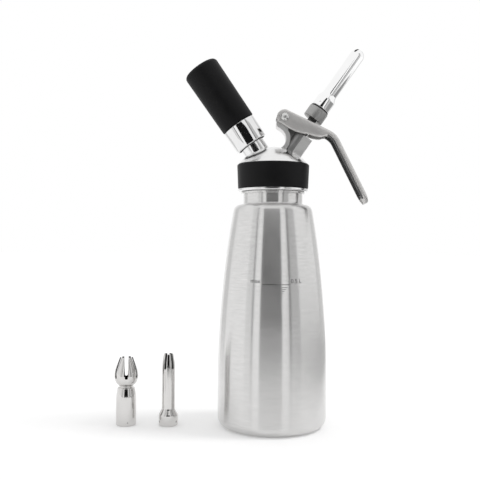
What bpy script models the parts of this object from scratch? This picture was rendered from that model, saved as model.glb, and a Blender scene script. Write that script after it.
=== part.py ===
"""Whipped cream dispenser: a steel bottle, a cast head with a squeeze lever, a charger holder and three tips.

Metres, +Z up. The origin lies on the floor, on the bottle's axis; +X is the lever's side.
The two side axes lie in the XZ plane: the valve leans to +X and the charger holder to -X.
Distances along a side axis are counted from the point where it meets the bottle's axis.
"""

import math

import bmesh
import bpy
from mathutils import Vector

# Clearances, facets and overruns
SEAT_GAP = 0.0003
RUNNING_GAP = 0.0003
CUT_OVERRUN = 0.002
MERGE_DISTANCE = 0.000001
LARGE_SEGMENTS = 40
MEDIUM_SEGMENTS = 24
SMALL_SEGMENTS = 16
SHARP_ANGLE = math.radians(30)
FILLET_STEPS = 3
FILLET_PROFILE_SHARE = 0.5
SEAL_NUT_SIDES = 6

# Bottle
BOTTLE_RADIUS = 0.0400
BOTTLE_WALL = 0.0012
BASE_THICKNESS = 0.0018
BASE_CORNER_RADIUS = 0.0070
STRAIGHT_HEIGHT = 0.0360
BODY_ARC_RADIUS = 0.6900
SHOULDER_START_HEIGHT = 0.1582
SHOULDER_ROUND = 0.0054
NECK_RADIUS = 0.02185
NECK_FILLET = 0.0016
BEAD_RADIUS = 0.0235
BEAD_THICKNESS = 0.0013
BEAD_ROUND_SHARE = 0.25
RIM_ROUND = 0.0004
NECK_BELOW_BEAD = 0.0126
NECK_ABOVE_BEAD = 0.0149
BEAD_HEIGHT = SHOULDER_START_HEIGHT + NECK_BELOW_BEAD
RIM_HEIGHT = BEAD_HEIGHT + BEAD_THICKNESS + NECK_ABOVE_BEAD

# Head casting
LIP_RADIUS = 0.0260
LIP_THICKNESS = 0.0019
LIP_CHAMFER = 0.0006
SKIRT_RADIUS = 0.0240
SKIRT_BORE_RADIUS = 0.0229
DOME_RADIUS = 0.0323
DOME_CENTRE_DROP = 0.0138
DOME_CENTRE_HEIGHT = RIM_HEIGHT - DOME_CENTRE_DROP
DOME_EDGE_RISE = 0.0195
DOME_WALL = 0.0036
GASKET_THICKNESS = 0.0020
GASKET_BORE_RADIUS = 0.0175
CAVITY_RADIUS = 0.0172

# Grip ring
GRIP_BOTTOM_RADIUS = 0.02595
GRIP_TOP_RADIUS = 0.0266
GRIP_ROUND = 0.0009

# Side axes, and how far along them the dome and its cavity reach
SIDE_TILT_ANGLE = math.radians(34.7)
SIDE_AXES_RISE = 0.0114
SIDE_AXES_HEIGHT = DOME_CENTRE_HEIGHT + SIDE_AXES_RISE
AXIS_LIFT = SIDE_AXES_RISE * math.cos(SIDE_TILT_ANGLE)
AXIS_SHIFT = SIDE_AXES_RISE * math.sin(SIDE_TILT_ANGLE)
DOME_REACH = math.sqrt(DOME_RADIUS**2 - AXIS_SHIFT**2) - AXIS_LIFT
CAVITY_REACH = math.sqrt((DOME_RADIUS - DOME_WALL) ** 2 - AXIS_SHIFT**2) - AXIS_LIFT
SEAT_INSIDE = 0.001084
SEAT_DISTANCE = CAVITY_REACH - SEAT_INSIDE

# Valve housing and lever bracket
HOUSING_HEIGHT = 0.01423
HOUSING_REACH = DOME_REACH + HOUSING_HEIGHT
HOUSING_HALF_WIDTH = 0.0065
HOUSING_RADIUS = 0.0089
HOUSING_CORNER = 0.0026
BAND_START = 0.0017
BORE_TUBE_RADIUS = 0.0056
VALVE_BOSS_RADIUS = 0.0076
VALVE_BOSS_LENGTH = 0.0019
WEB_HALF_WIDTH = 0.0025
PLATE_EMBED = 0.0018
PIVOT_OFFSET = 0.0174
PIVOT_RISE = 0.00255
PIVOT_DISTANCE = HOUSING_REACH + PIVOT_RISE
LUG_RADIUS = 0.0031
LUG_START_ANGLE = math.radians(200)
LUG_END_ANGLE = math.radians(40)
FLANGE_CENTRE_OFFSET = 0.0141
FLANGE_SINK = 0.00037
FLANGE_RADIUS = 0.0079
FLANGE_THICKNESS = 0.0030
LIP_REACH = 0.0046
LIP_RISE = 0.0035
LIP_FLARE = 0.0023
LUG_BLOCK_WIDTH = 0.0100
POCKET_START_ANGLE = math.radians(-60)

# Dispensing valve
STEM_RADIUS = 0.0032
STEM_BORE_RADIUS = 0.0018
STEM_BORE_SHARE = 0.86
STEM_PORT_RADIUS = 0.0012
STUD_RADIUS = 0.0020
STUD_LENGTH = 0.0070
SEAL_RADIUS = 0.0064
SEAL_THICKNESS = 0.0023
SEAL_NUT_RADIUS = 0.0042
SEAL_NUT_THICKNESS = 0.0030
O_RING_SECTION_RADIUS = 0.0005
SPRING_WELL_RADIUS = 0.0048
SPRING_WELL_DEPTH = 0.0055
GUIDE_THICKNESS = 0.0012
SPRING_WIRE_RADIUS = 0.00045
SPRING_MEAN_RADIUS = 0.0040
SPRING_CURLS = 5
POINTS_PER_CURL = 9
COLLAR_RADIUS = 0.0062
COLLAR_THICKNESS = 0.0019
COLLAR_RISE = 0.0077
COLLAR_TOP_DISTANCE = HOUSING_REACH + COLLAR_RISE
COLLAR_ROUND = 0.0007

# Tip adapter and washer
ADAPTER_RADIUS = 0.00765
ADAPTER_RISE = 0.0065
ADAPTER_START = COLLAR_TOP_DISTANCE + ADAPTER_RISE
STEM_IN_ADAPTER = 0.0063
STEM_TOP_DISTANCE = ADAPTER_START + STEM_IN_ADAPTER
ADAPTER_LENGTH = 0.0086
ADAPTER_CHAMFER = 0.0004
SPIGOT_RADIUS = 0.0052
SPIGOT_LENGTH = 0.0067
OUTLET_RADIUS = 0.0022
WASHER_THICKNESS = 0.0006
WASHER_GAP = 0.0002
WASHER_RADIUS = 0.0072

# Tips
LOOSE_TIP_Y = -0.0025
TIP_BORE_RADIUS = 0.0055
TIP_WALL = 0.0010
TIP_EDGE_CHAMFER = 0.0004
TIP_SEGMENTS = 24
FACET_MIDDLE_SHARE = 0.5
DIMPLE_RADIUS = 0.0007
DIMPLE_DEPTH = 0.0007
DIMPLE_HEIGHT = 0.0032
DIMPLE_COUNT = 3
DIMPLE_SEGMENTS = 8
SLOT_COUNT = 6
STRAIGHT_TIP_LENGTH = 0.0527
STRAIGHT_BASE_RADIUS = 0.00705
STRAIGHT_BASE_LENGTH = 0.0084
STRAIGHT_CONE_LENGTH = 0.0035
STRAIGHT_TUBE_RADIUS = 0.0054
STRAIGHT_SLOT_WIDTH = 0.0016
STRAIGHT_SLOT_DEPTH = 0.0046
STRAIGHT_SLOT_TURN_ANGLE = math.radians(38)
STRAIGHT_DIMPLE_FACET = -2
STAR_LENGTH = 0.0524
STAR_BASE_RADIUS = 0.0071
STAR_BASE_LENGTH = 0.0080
STAR_CONE_LENGTH = 0.0040
STAR_TUBE_RADIUS = 0.00485
STAR_END_RADIUS = 0.0035
STAR_BEND_SHARE = 0.33
STAR_SLOT_LENGTH = 0.0110
STAR_LEAN_SHARE = 0.92
STAR_SLOT_WIDTH = 0.0023
STAR_TURN_ANGLE = math.radians(8)
STAR_DIMPLE_FACET = 3
STAR_X = -0.0762
TULIP_LENGTH = 0.0497
TULIP_BASE_RADIUS = 0.0074
TULIP_WAIST_RADIUS = 0.0054
TULIP_WAIST_HEIGHT = 0.0272
TULIP_TAPER_START = 0.0060
TULIP_TAPER_SHARE = 0.33
TULIP_GROOVE_DEPTH = 0.0004
TULIP_GROOVE_WIDTH = 0.0020
TULIP_BULB_RADIUS = 0.00875
TULIP_MOUTH_RADIUS = 0.0047
TULIP_SLOT_BOTTOM = 0.0345
TULIP_SLOT_LOW_WIDTH = 0.0022
TULIP_SLOT_HIGH_WIDTH = 0.0034
TULIP_TURN_ANGLE = math.radians(9)
TULIP_X = -0.1073
BULB_HEIGHT_SHARES = (0.07, 0.17, 0.31, 0.42, 0.53, 0.69, 0.86, 1.0)
BULB_RADIUS_SHARES = (0.58, 0.85, 1.0, 0.97, 0.87, 0.61, 0.28, 0.0)

# Lever
LEVER_SLOPE_ANGLE = math.radians(25.2)
LEVER_TOP = 0.0056
LEVER_END_RADIUS = 0.0058
LEVER_WIDTH = 0.0180
LEVER_WALL = 0.0022
LEVER_CORNER = 0.0012
LEVER_ARM_LENGTH = 0.0338
LEVER_ARM_DEPTH = 0.0118
LEVER_PIVOT_DEPTH = 0.0108
LEVER_BEND_RADIUS = 0.0160
LEVER_BEND_ANGLE = math.radians(38)
HANDLE_LENGTH = 0.0500
HANDLE_DEPTH = 0.0046
HANDLE_WIDTH = 0.0170
HANDLE_END_ROUND = 0.0085
HANDLE_SOLID_LENGTH = 0.0070
HOLLOW_END_SLOPE = 0.0010
END_HOLLOW_DEPTH = 0.0005
HANDLE_NOSE_DROP = 0.0016
BELLY_PLACE_SHARES = (0.0, 0.19, 0.33, 0.47, 0.63, 0.73, 0.83, 0.89, 0.95, 1.0)
BELLY_DEPTH_SHARES = (0.86, 0.99, 1.0, 0.90, 0.655, 0.60, 0.485, 0.375, 0.14, 0.0)
LEVER_END_SHARES = (0.995, 0.90, 0.68, 0.40)
HANDLE_END_SHARES = (0.36, 0.58, 0.76, 0.89, 0.97, 0.998)
NARROW_WALL_SHARE = 0.55
NARROW_CORNER_SHARE = 0.25
SHALLOW_CORNER_SHARE = 0.33
BEND_STEPS = 5
STEM_SLOT_CLEARANCE = 0.0008
STEM_SLOT_PLAY = 0.0016

# Lever pivot
PIVOT_PIN_RADIUS = 0.0015
PIVOT_HEAD_RADIUS = 0.0030
PIVOT_HEAD_HEIGHT = 0.0016
PIVOT_END_LENGTH = 0.0006
PIVOT_DIMPLE_RADIUS = 0.0007
PIVOT_DIMPLE_DEPTH = 0.0006

# Charger port
PORT_RADIUS = 0.00915
PORT_LENGTH = 0.0135
PORT_REACH = DOME_REACH + PORT_LENGTH
PORT_CHAMFER = 0.0006
PORT_BORE_RADIUS = 0.0046
PORT_BORE_DEPTH = 0.0140
GAS_WAY_RADIUS = 0.0026
PIN_FLANGE_THICKNESS = 0.0017
PIN_RADIUS = 0.0011
PIN_POINT_RADIUS = 0.0002
PIN_POINT_LENGTH = 0.0015
PIN_LENGTH = 0.0062
RETAINER_THICKNESS = 0.0016
CHARGER_GASKET_THICKNESS = 0.0013
CHECK_VALVE_RADIUS = 0.0055
CHECK_VALVE_THICKNESS = 0.0016
CHECK_STEM_LENGTH = 0.0040

# Charger
CHARGER_RADIUS = 0.00895
CHARGER_LENGTH = 0.0655
CHARGER_NECK_RADIUS = 0.00425
CHARGER_NECK_LENGTH = 0.0090
CHARGER_SHOULDER_LENGTH = 0.0060
CHARGER_SHOULDER_SHARE = 0.67
CHARGER_HOLE_RADIUS = 0.0015
CHARGER_HOLE_DEPTH = 0.0070

# Charger holder
CUP_OVERLAP = 0.00797
CUP_START = PORT_REACH - CUP_OVERLAP
CUP_MOUTH_RADIUS = 0.0124
CUP_STEP_RADIUS = 0.0128
CUP_MOUTH_LENGTH = 0.0176
CUP_MOUTH_CHAMFER = 0.0012
CUP_CLEARANCE = 0.0005
CUP_WALL = 0.0019
CUP_END_WALL = 0.0012
CUP_EDGE_ROUND = 0.0005
CUP_CORNER = 0.0038
SLEEVE_START_RADIUS = 0.0130
SLEEVE_END_RADIUS = 0.0136
SLEEVE_END_THICKNESS = 0.0012
SLEEVE_CORNER = 0.0030
SLEEVE_CROWN = 0.0009

STEEL_COLOUR = (0.62, 0.61, 0.60, 1.0)
POLISHED_COLOUR = (0.80, 0.80, 0.80, 1.0)
CAST_COLOUR = (0.48, 0.48, 0.47, 1.0)
DULL_COLOUR = (0.30, 0.30, 0.30, 1.0)
SILICONE_COLOUR = (0.018, 0.018, 0.019, 1.0)
RUBBER_COLOUR = (0.03, 0.03, 0.03, 1.0)
PLASTIC_COLOUR = (0.75, 0.74, 0.70, 1.0)


def clear_scene():
    for obj in list(bpy.data.objects):
        bpy.data.objects.remove(obj, do_unlink=True)


def make_material(name, colour, roughness, metallic):
    """A Principled material in one plain colour."""
    material = bpy.data.materials.new(name)
    material.use_nodes = True
    shader = material.node_tree.nodes["Principled BSDF"]
    shader.inputs["Base Color"].default_value = colour
    shader.inputs["Roughness"].default_value = roughness
    shader.inputs["Metallic"].default_value = metallic
    material.diffuse_color = colour
    return material


def link_mesh(name, bm, material, parent=None):
    """Turns a bmesh into an object with outward normals and smooth round faces."""
    bmesh.ops.recalc_face_normals(bm, faces=bm.faces[:])
    if bm.calc_volume(signed=True) < 0:
        bmesh.ops.reverse_faces(bm, faces=bm.faces[:])
    mesh = bpy.data.meshes.new(name)
    bm.to_mesh(mesh)
    bm.free()
    mesh.shade_smooth()
    mesh.set_sharp_from_angle(angle=SHARP_ANGLE)
    obj = bpy.data.objects.new(name, mesh)
    bpy.context.scene.collection.objects.link(obj)
    obj.parent = parent
    if material:
        mesh.materials.append(material)
    return obj


def make_axis(name, location, tilt):
    """An empty whose local Z is a side axis of the head."""
    axis = bpy.data.objects.new(name, None)
    bpy.context.scene.collection.objects.link(axis)
    axis.location = location
    axis.rotation_euler = (0, tilt, 0)
    return axis


def arc(centre, radius, start, end, steps):
    """Points on an arc between two angles in radians, both ends included."""
    angles = [start + (end - start) * i / steps for i in range(steps + 1)]
    return [(centre[0] + radius * math.cos(a), centre[1] + radius * math.sin(a)) for a in angles]


def turned(name, profile, segments, material, parent=None):
    """Spins a closed (radius, height) profile about local Z. Points on the axis become one point."""
    bm = bmesh.new()
    points = [bm.verts.new((radius, 0, height)) for radius, height in profile]
    for first, second in zip(points, points[1:] + points[:1]):
        if first.co.x > 0 or second.co.x > 0:
            bm.edges.new((first, second))
    bmesh.ops.spin(
        bm,
        geom=bm.verts[:] + bm.edges[:],
        cent=(0, 0, 0),
        axis=(0, 0, 1),
        angle=math.tau,
        steps=segments,
        use_merge=True,
    )
    bmesh.ops.remove_doubles(bm, verts=bm.verts[:], dist=MERGE_DISTANCE)
    return link_mesh(name, bm, material, parent)


def extruded(name, outline, half_width, material=None, parent=None, rounded=None, rounding=0):
    """Extrudes an (x, z) outline along Y to both sides. rounded(point) picks the edges to round."""
    bm = bmesh.new()
    face = bm.faces.new([bm.verts.new((x, -half_width, z)) for x, z in outline])
    sides = bmesh.ops.extrude_face_region(bm, geom=[face])["geom"]
    moved = [item for item in sides if isinstance(item, bmesh.types.BMVert)]
    bmesh.ops.translate(bm, verts=moved, vec=(0, 2 * half_width, 0))
    if rounded:
        edges = [
            edge
            for edge in bm.edges
            if abs(edge.verts[0].co.y - edge.verts[1].co.y) < half_width
            and all(rounded(vert.co) for vert in edge.verts)
        ]
        bmesh.ops.bevel(
            bm,
            geom=edges,
            offset=rounding,
            segments=FILLET_STEPS,
            profile=FILLET_PROFILE_SHARE,
            affect="EDGES",
            clamp_overlap=True,
        )
    return link_mesh(name, bm, material, parent)


def rod(name, radius, start, end, segments, parent=None):
    """A plain cylinder along local Z, used as a cutter."""
    return turned(name, [(0, start), (radius, start), (radius, end), (0, end)], segments, None, parent)


def combine(obj, other, operation):
    """Joins or cuts obj with a helper, which is then kept out of the render."""
    modifier = obj.modifiers.new(other.name, "BOOLEAN")
    modifier.operation = operation
    modifier.object = other
    modifier.solver = "EXACT"
    other.hide_render = True
    other.display_type = "WIRE"


def circles_meet(first, first_radius, second, second_radius, side):
    """One of the two points where two circles meet. side is 1 or -1."""
    offset = Vector(second) - Vector(first)
    distance = offset.length
    along = (distance**2 + first_radius**2 - second_radius**2) / (2 * distance)
    across = math.sqrt(first_radius**2 - along**2)
    forward = offset / distance
    return Vector(first) + forward * along + Vector((-forward.y, forward.x)) * across * side


def angle_about(centre, point):
    return math.atan2(point[1] - centre[1], point[0] - centre[0])


def bottle_radius(height):
    """The outer radius of the bottle's body: straight, then one long arc."""
    return BOTTLE_RADIUS - max(0, height - STRAIGHT_HEIGHT) ** 2 / (2 * BODY_ARC_RADIUS)


def bottle_side(inset, corner_steps, body_steps, round_steps):
    """The side of the bottle from its base corner to its neck, moved in by inset."""
    base = BASE_THICKNESS if inset else 0
    corner = BASE_CORNER_RADIUS - inset
    corner_centre = (BOTTLE_RADIUS - BASE_CORNER_RADIUS, base + corner)
    side = arc(corner_centre, corner, -math.pi / 2, 0, corner_steps)
    for step in range(body_steps):
        height = STRAIGHT_HEIGHT + (SHOULDER_START_HEIGHT - STRAIGHT_HEIGHT) * step / body_steps
        side.append((bottle_radius(height) - inset, height))
    lean = math.atan((SHOULDER_START_HEIGHT - STRAIGHT_HEIGHT) / BODY_ARC_RADIUS)
    shoulder_centre = (
        bottle_radius(SHOULDER_START_HEIGHT) - SHOULDER_ROUND * math.cos(lean),
        SHOULDER_START_HEIGHT - SHOULDER_ROUND * math.sin(lean),
    )
    side += arc(shoulder_centre, SHOULDER_ROUND - inset, lean, math.pi / 2, round_steps)
    fillet_centre = (NECK_RADIUS + NECK_FILLET, shoulder_centre[1] + SHOULDER_ROUND + NECK_FILLET)
    side += arc(fillet_centre, NECK_FILLET + inset, -math.pi / 2, -math.pi, round_steps - 1)
    return side


def make_bottle(material):
    outside = bottle_side(0, 4, 6, 4)
    bead_round = BEAD_THICKNESS * BEAD_ROUND_SHARE
    collar = [
        (NECK_RADIUS, BEAD_HEIGHT),
        (BEAD_RADIUS - bead_round, BEAD_HEIGHT),
        (BEAD_RADIUS, BEAD_HEIGHT + BEAD_THICKNESS / 2),
        (BEAD_RADIUS - bead_round, BEAD_HEIGHT + BEAD_THICKNESS),
        (NECK_RADIUS, BEAD_HEIGHT + BEAD_THICKNESS),
    ]
    mouth_radius = NECK_RADIUS - BOTTLE_WALL
    rim = [
        (NECK_RADIUS, RIM_HEIGHT - RIM_ROUND),
        (NECK_RADIUS - RIM_ROUND, RIM_HEIGHT),
        (mouth_radius + RIM_ROUND, RIM_HEIGHT),
        (mouth_radius, RIM_HEIGHT - RIM_ROUND),
    ]
    inside = bottle_side(BOTTLE_WALL, 2, 4, 2)
    profile = [(0, 0)] + outside + collar + rim + inside[::-1] + [(0, BASE_THICKNESS)]
    return turned("bottle", profile, LARGE_SEGMENTS, material)


def head_levels():
    """The heights where the head's lip, grip ring and gasket seat lie."""
    bottom = BEAD_HEIGHT + BEAD_THICKNESS + SEAT_GAP
    grip_bottom = bottom + LIP_THICKNESS + SEAT_GAP
    grip_top = DOME_CENTRE_HEIGHT + DOME_EDGE_RISE - SEAT_GAP
    gasket_bottom = RIM_HEIGHT + SEAT_GAP
    gasket_seat = gasket_bottom + GASKET_THICKNESS + SEAT_GAP
    return bottom, grip_bottom, grip_top, gasket_bottom, gasket_seat


def make_head_shell(material):
    """The lip, the skirt that the bottle screws into, and the dome with its cavity."""
    bottom, _, _, _, gasket_seat = head_levels()
    ledge = DOME_CENTRE_HEIGHT + DOME_EDGE_RISE
    dome_centre = (0, DOME_CENTRE_HEIGHT)
    dome_start = math.asin(DOME_EDGE_RISE / DOME_RADIUS)
    cavity_radius = DOME_RADIUS - DOME_WALL
    cavity_start = math.acos(CAVITY_RADIUS / cavity_radius)
    dome = arc(dome_centre, DOME_RADIUS, dome_start, math.pi / 2, 8)
    ceiling = arc(dome_centre, cavity_radius, math.pi / 2, cavity_start, 5)
    profile = [
        (SKIRT_BORE_RADIUS, bottom),
        (LIP_RADIUS - LIP_CHAMFER, bottom),
        (LIP_RADIUS, bottom + LIP_CHAMFER),
        (LIP_RADIUS, bottom + LIP_THICKNESS),
        (SKIRT_RADIUS, bottom + LIP_THICKNESS),
        (SKIRT_RADIUS, ledge),
    ]
    profile += dome[:-1] + [(0, dome[-1][1]), (0, ceiling[0][1])] + ceiling[1:]
    profile += [(CAVITY_RADIUS, gasket_seat), (SKIRT_BORE_RADIUS, gasket_seat)]
    return turned("head", profile, LARGE_SEGMENTS, material)


def flange_middle():
    """The centre of the bracket's curved flange, beside the valve axis. The flange runs out onto the dome."""
    reach = DOME_RADIUS - PLATE_EMBED + FLANGE_RADIUS - FLANGE_SINK
    across = AXIS_SHIFT + FLANGE_CENTRE_OFFSET
    return (-FLANGE_CENTRE_OFFSET, math.sqrt(reach**2 - across**2) - AXIS_LIFT)


def bracket_outline():
    """The bracket plate's outline beside the valve axis: lip, pivot lug, housing, dome and curved flange."""
    pivot = (-PIVOT_OFFSET, PIVOT_DISTANCE)
    dome_centre = (AXIS_SHIFT, -AXIS_LIFT)
    flange_centre = flange_middle()
    embed_radius = DOME_RADIUS - PLATE_EMBED
    foot = circles_meet(flange_centre, FLANGE_RADIUS, dome_centre, embed_radius, -1)
    lip_bottom = flange_centre[1] + FLANGE_RADIUS
    lip_left = flange_centre[0] - LIP_REACH
    housing_foot = math.acos((HOUSING_RADIUS - dome_centre[0]) / embed_radius)
    flange = arc(flange_centre, FLANGE_RADIUS, angle_about(flange_centre, foot), math.pi / 2, 10)
    lug = arc(pivot, LUG_RADIUS, LUG_START_ANGLE, LUG_END_ANGLE, 8)
    underside = arc(dome_centre, embed_radius, housing_foot, angle_about(dome_centre, foot), 6)
    outline = flange + [(lip_left, lip_bottom), (lip_left - LIP_FLARE, lip_bottom + LIP_RISE)] + lug
    outline += [(-BORE_TUBE_RADIUS, HOUSING_REACH), (HOUSING_RADIUS, HOUSING_REACH)]
    return outline + underside[:-1]


def pocket_outline():
    """The hollow between the flange and the housing's front band."""
    flange_centre = flange_middle()
    outer = FLANGE_RADIUS + FLANGE_THICKNESS
    lug_edge = -PIVOT_OFFSET - LUG_RADIUS + LUG_BLOCK_WIDTH
    top = math.acos((lug_edge - flange_centre[0]) / outer)
    flange = arc(flange_centre, outer, POCKET_START_ANGLE, top, 8)
    high = PIVOT_DISTANCE + CUT_OVERRUN
    low = flange[0][1]
    return flange + [(lug_edge, high), (BAND_START, high), (BAND_START, low)]


def make_bracket(parent):
    """The flat-sided casting that carries the valve and the lever's pivot."""
    right_edge = HOUSING_RADIUS - MERGE_DISTANCE
    bracket = extruded(
        "bracket_plate",
        bracket_outline(),
        HOUSING_HALF_WIDTH,
        parent=parent,
        rounded=lambda point: point.x > right_edge,
        rounding=HOUSING_CORNER,
    )
    pocket_half = (HOUSING_HALF_WIDTH + CUT_OVERRUN - WEB_HALF_WIDTH) / 2
    for side in (-1, 1):
        pocket = extruded(f"pocket_cutter_{side + 1}", pocket_outline(), pocket_half, parent=parent)
        pocket.location.y = side * (WEB_HALF_WIDTH + pocket_half)
        combine(bracket, pocket, "DIFFERENCE")
    boss_end = SEAT_DISTANCE + VALVE_BOSS_LENGTH
    tube_profile = [
        (0, SEAT_DISTANCE),
        (VALVE_BOSS_RADIUS, SEAT_DISTANCE),
        (VALVE_BOSS_RADIUS, boss_end),
        (BORE_TUBE_RADIUS, boss_end),
        (BORE_TUBE_RADIUS, HOUSING_REACH),
        (0, HOUSING_REACH),
    ]
    tube = turned("bore_tube", tube_profile, MEDIUM_SEGMENTS, None, parent)
    combine(bracket, tube, "UNION")
    return bracket


def well_levels():
    """Where the spring well, the O-ring's recess and the guide lie along the valve axis."""
    well_bottom = HOUSING_REACH - SPRING_WELL_DEPTH
    recess_depth = 2 * O_RING_SECTION_RADIUS + 2 * SEAT_GAP
    return well_bottom, well_bottom - recess_depth


def make_head(material, valve_axis, charger_axis):
    head = make_head_shell(material)
    combine(head, make_bracket(valve_axis), "UNION")
    port_profile = [
        (0, SEAT_DISTANCE),
        (PORT_RADIUS, SEAT_DISTANCE),
        (PORT_RADIUS, PORT_REACH - PORT_CHAMFER),
        (PORT_RADIUS - PORT_CHAMFER, PORT_REACH),
        (0, PORT_REACH),
    ]
    combine(head, turned("charger_port", port_profile, MEDIUM_SEGMENTS, None, charger_axis), "UNION")
    well_bottom, recess_bottom = well_levels()
    recess_radius = STEM_RADIUS + 2 * O_RING_SECTION_RADIUS + RUNNING_GAP
    guide_radius = STEM_RADIUS + RUNNING_GAP
    seal_face = SEAL_RADIUS + RUNNING_GAP
    valve_bore = [
        (0, SEAT_DISTANCE - STUD_LENGTH),
        (seal_face, SEAT_DISTANCE - STUD_LENGTH),
        (seal_face, SEAT_DISTANCE),
        (guide_radius, SEAT_DISTANCE),
        (guide_radius, recess_bottom),
        (recess_radius, recess_bottom),
        (recess_radius, well_bottom),
        (SPRING_WELL_RADIUS, well_bottom),
        (SPRING_WELL_RADIUS, HOUSING_REACH + CUT_OVERRUN),
        (0, HOUSING_REACH + CUT_OVERRUN),
    ]
    combine(head, turned("valve_bore_cutter", valve_bore, SMALL_SEGMENTS, None, valve_axis), "DIFFERENCE")
    port_floor = PORT_REACH - PORT_BORE_DEPTH
    check_face = CHECK_VALVE_RADIUS + RUNNING_GAP
    port_bore = [
        (0, SEAT_DISTANCE - CHECK_VALVE_THICKNESS - CUT_OVERRUN),
        (check_face, SEAT_DISTANCE - CHECK_VALVE_THICKNESS - CUT_OVERRUN),
        (check_face, SEAT_DISTANCE),
        (GAS_WAY_RADIUS, SEAT_DISTANCE),
        (GAS_WAY_RADIUS, port_floor),
        (PORT_BORE_RADIUS, port_floor),
        (PORT_BORE_RADIUS, PORT_REACH + CUT_OVERRUN),
        (0, PORT_REACH + CUT_OVERRUN),
    ]
    combine(head, turned("port_bore_cutter", port_bore, SMALL_SEGMENTS, None, charger_axis), "DIFFERENCE")
    half = HOUSING_HALF_WIDTH + CUT_OVERRUN
    hole_radius = PIVOT_PIN_RADIUS + RUNNING_GAP
    pivot_hole = rod("pivot_hole_cutter", hole_radius, -half, half, SMALL_SEGMENTS, valve_axis)
    pivot_hole.location = (-PIVOT_OFFSET, 0, PIVOT_DISTANCE)
    pivot_hole.rotation_euler = (math.pi / 2, 0, 0)
    combine(head, pivot_hole, "DIFFERENCE")
    return head


def make_grip_ring(material):
    _, bottom, top, _, _ = head_levels()
    bore = SKIRT_RADIUS + SEAT_GAP
    low = arc((GRIP_BOTTOM_RADIUS - GRIP_ROUND, bottom + GRIP_ROUND), GRIP_ROUND, -math.pi / 2, 0, 2)
    high = arc((GRIP_TOP_RADIUS - GRIP_ROUND, top - GRIP_ROUND), GRIP_ROUND, 0, math.pi / 2, 2)
    return turned("grip_ring", [(bore, bottom)] + low + high + [(bore, top)], LARGE_SEGMENTS, material)


def ring(name, inner, outer, start, end, segments, material, parent=None):
    """A plain ring between two radii and two heights."""
    profile = [(inner, start), (outer, start), (outer, end), (inner, end)]
    return turned(name, profile, segments, material, parent)


def make_head_gasket(material):
    _, _, _, bottom, seat = head_levels()
    outer = SKIRT_BORE_RADIUS - SEAT_GAP
    return ring("head_gasket", GASKET_BORE_RADIUS, outer, bottom, seat - SEAT_GAP, LARGE_SEGMENTS, material)


def make_stem(material, axis):
    """The hollow stem with its cross port, and the stud that carries the seal."""
    stud_end = SEAT_DISTANCE - STUD_LENGTH
    bore_end = STEM_TOP_DISTANCE - (STEM_TOP_DISTANCE - stud_end) * STEM_BORE_SHARE + STEM_BORE_RADIUS
    profile = [
        (0, stud_end),
        (STUD_RADIUS, stud_end),
        (STUD_RADIUS, SEAT_DISTANCE),
        (STEM_RADIUS, SEAT_DISTANCE),
        (STEM_RADIUS, STEM_TOP_DISTANCE),
        (STEM_BORE_RADIUS, STEM_TOP_DISTANCE),
        (STEM_BORE_RADIUS, bore_end),
        (0, bore_end),
    ]
    stem = turned("valve_stem", profile, SMALL_SEGMENTS, material, axis)
    half = STEM_RADIUS + CUT_OVERRUN
    port = rod("stem_port_cutter", STEM_PORT_RADIUS, -half, half, DIMPLE_SEGMENTS, axis)
    port.location = (0, 0, bore_end + 2 * STEM_PORT_RADIUS)
    port.rotation_euler = (math.pi / 2, 0, 0)
    combine(stem, port, "DIFFERENCE")
    return stem


def make_valve_seal(rubber, steel, axis):
    top = SEAT_DISTANCE - SEAT_GAP
    bottom = top - SEAL_THICKNESS
    bore = STUD_RADIUS + RUNNING_GAP
    ring("valve_seal", bore, SEAL_RADIUS, bottom, top, SMALL_SEGMENTS, rubber, axis)
    nut_top = bottom - SEAT_GAP
    bm = bmesh.new()
    bmesh.ops.create_cone(
        bm,
        cap_ends=True,
        segments=SEAL_NUT_SIDES,
        radius1=SEAL_NUT_RADIUS,
        radius2=SEAL_NUT_RADIUS,
        depth=SEAL_NUT_THICKNESS,
    )
    nut = link_mesh("seal_nut", bm, steel, axis)
    nut.location = (0, 0, nut_top - SEAL_NUT_THICKNESS / 2)
    cutter = rod("nut_bore_cutter", bore, nut_top - 2 * SEAL_NUT_THICKNESS, top, SMALL_SEGMENTS, axis)
    combine(nut, cutter, "DIFFERENCE")


def make_o_ring(material, axis):
    well_bottom, recess_bottom = well_levels()
    middle = (STEM_RADIUS + RUNNING_GAP / 2 + O_RING_SECTION_RADIUS, (well_bottom + recess_bottom) / 2)
    section = arc(middle, O_RING_SECTION_RADIUS, 0, math.tau, 8)
    turned("stem_o_ring", section[:-1], SMALL_SEGMENTS, material, axis)


def make_guide(material, axis):
    bottom = well_levels()[0] + SEAT_GAP
    outer = SPRING_WELL_RADIUS - RUNNING_GAP
    bore = STEM_RADIUS + RUNNING_GAP
    ring("stem_guide", bore, outer, bottom, bottom + GUIDE_THICKNESS, SMALL_SEGMENTS, material, axis)
    return bottom + GUIDE_THICKNESS


def spring_point(turn, start, length):
    """A point on the spring's centre line. turn runs from 0 to the number of curls."""
    angle = math.tau * turn
    height = start + length * turn / SPRING_CURLS
    return Vector((SPRING_MEAN_RADIUS * math.cos(angle), SPRING_MEAN_RADIUS * math.sin(angle), height))


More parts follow.
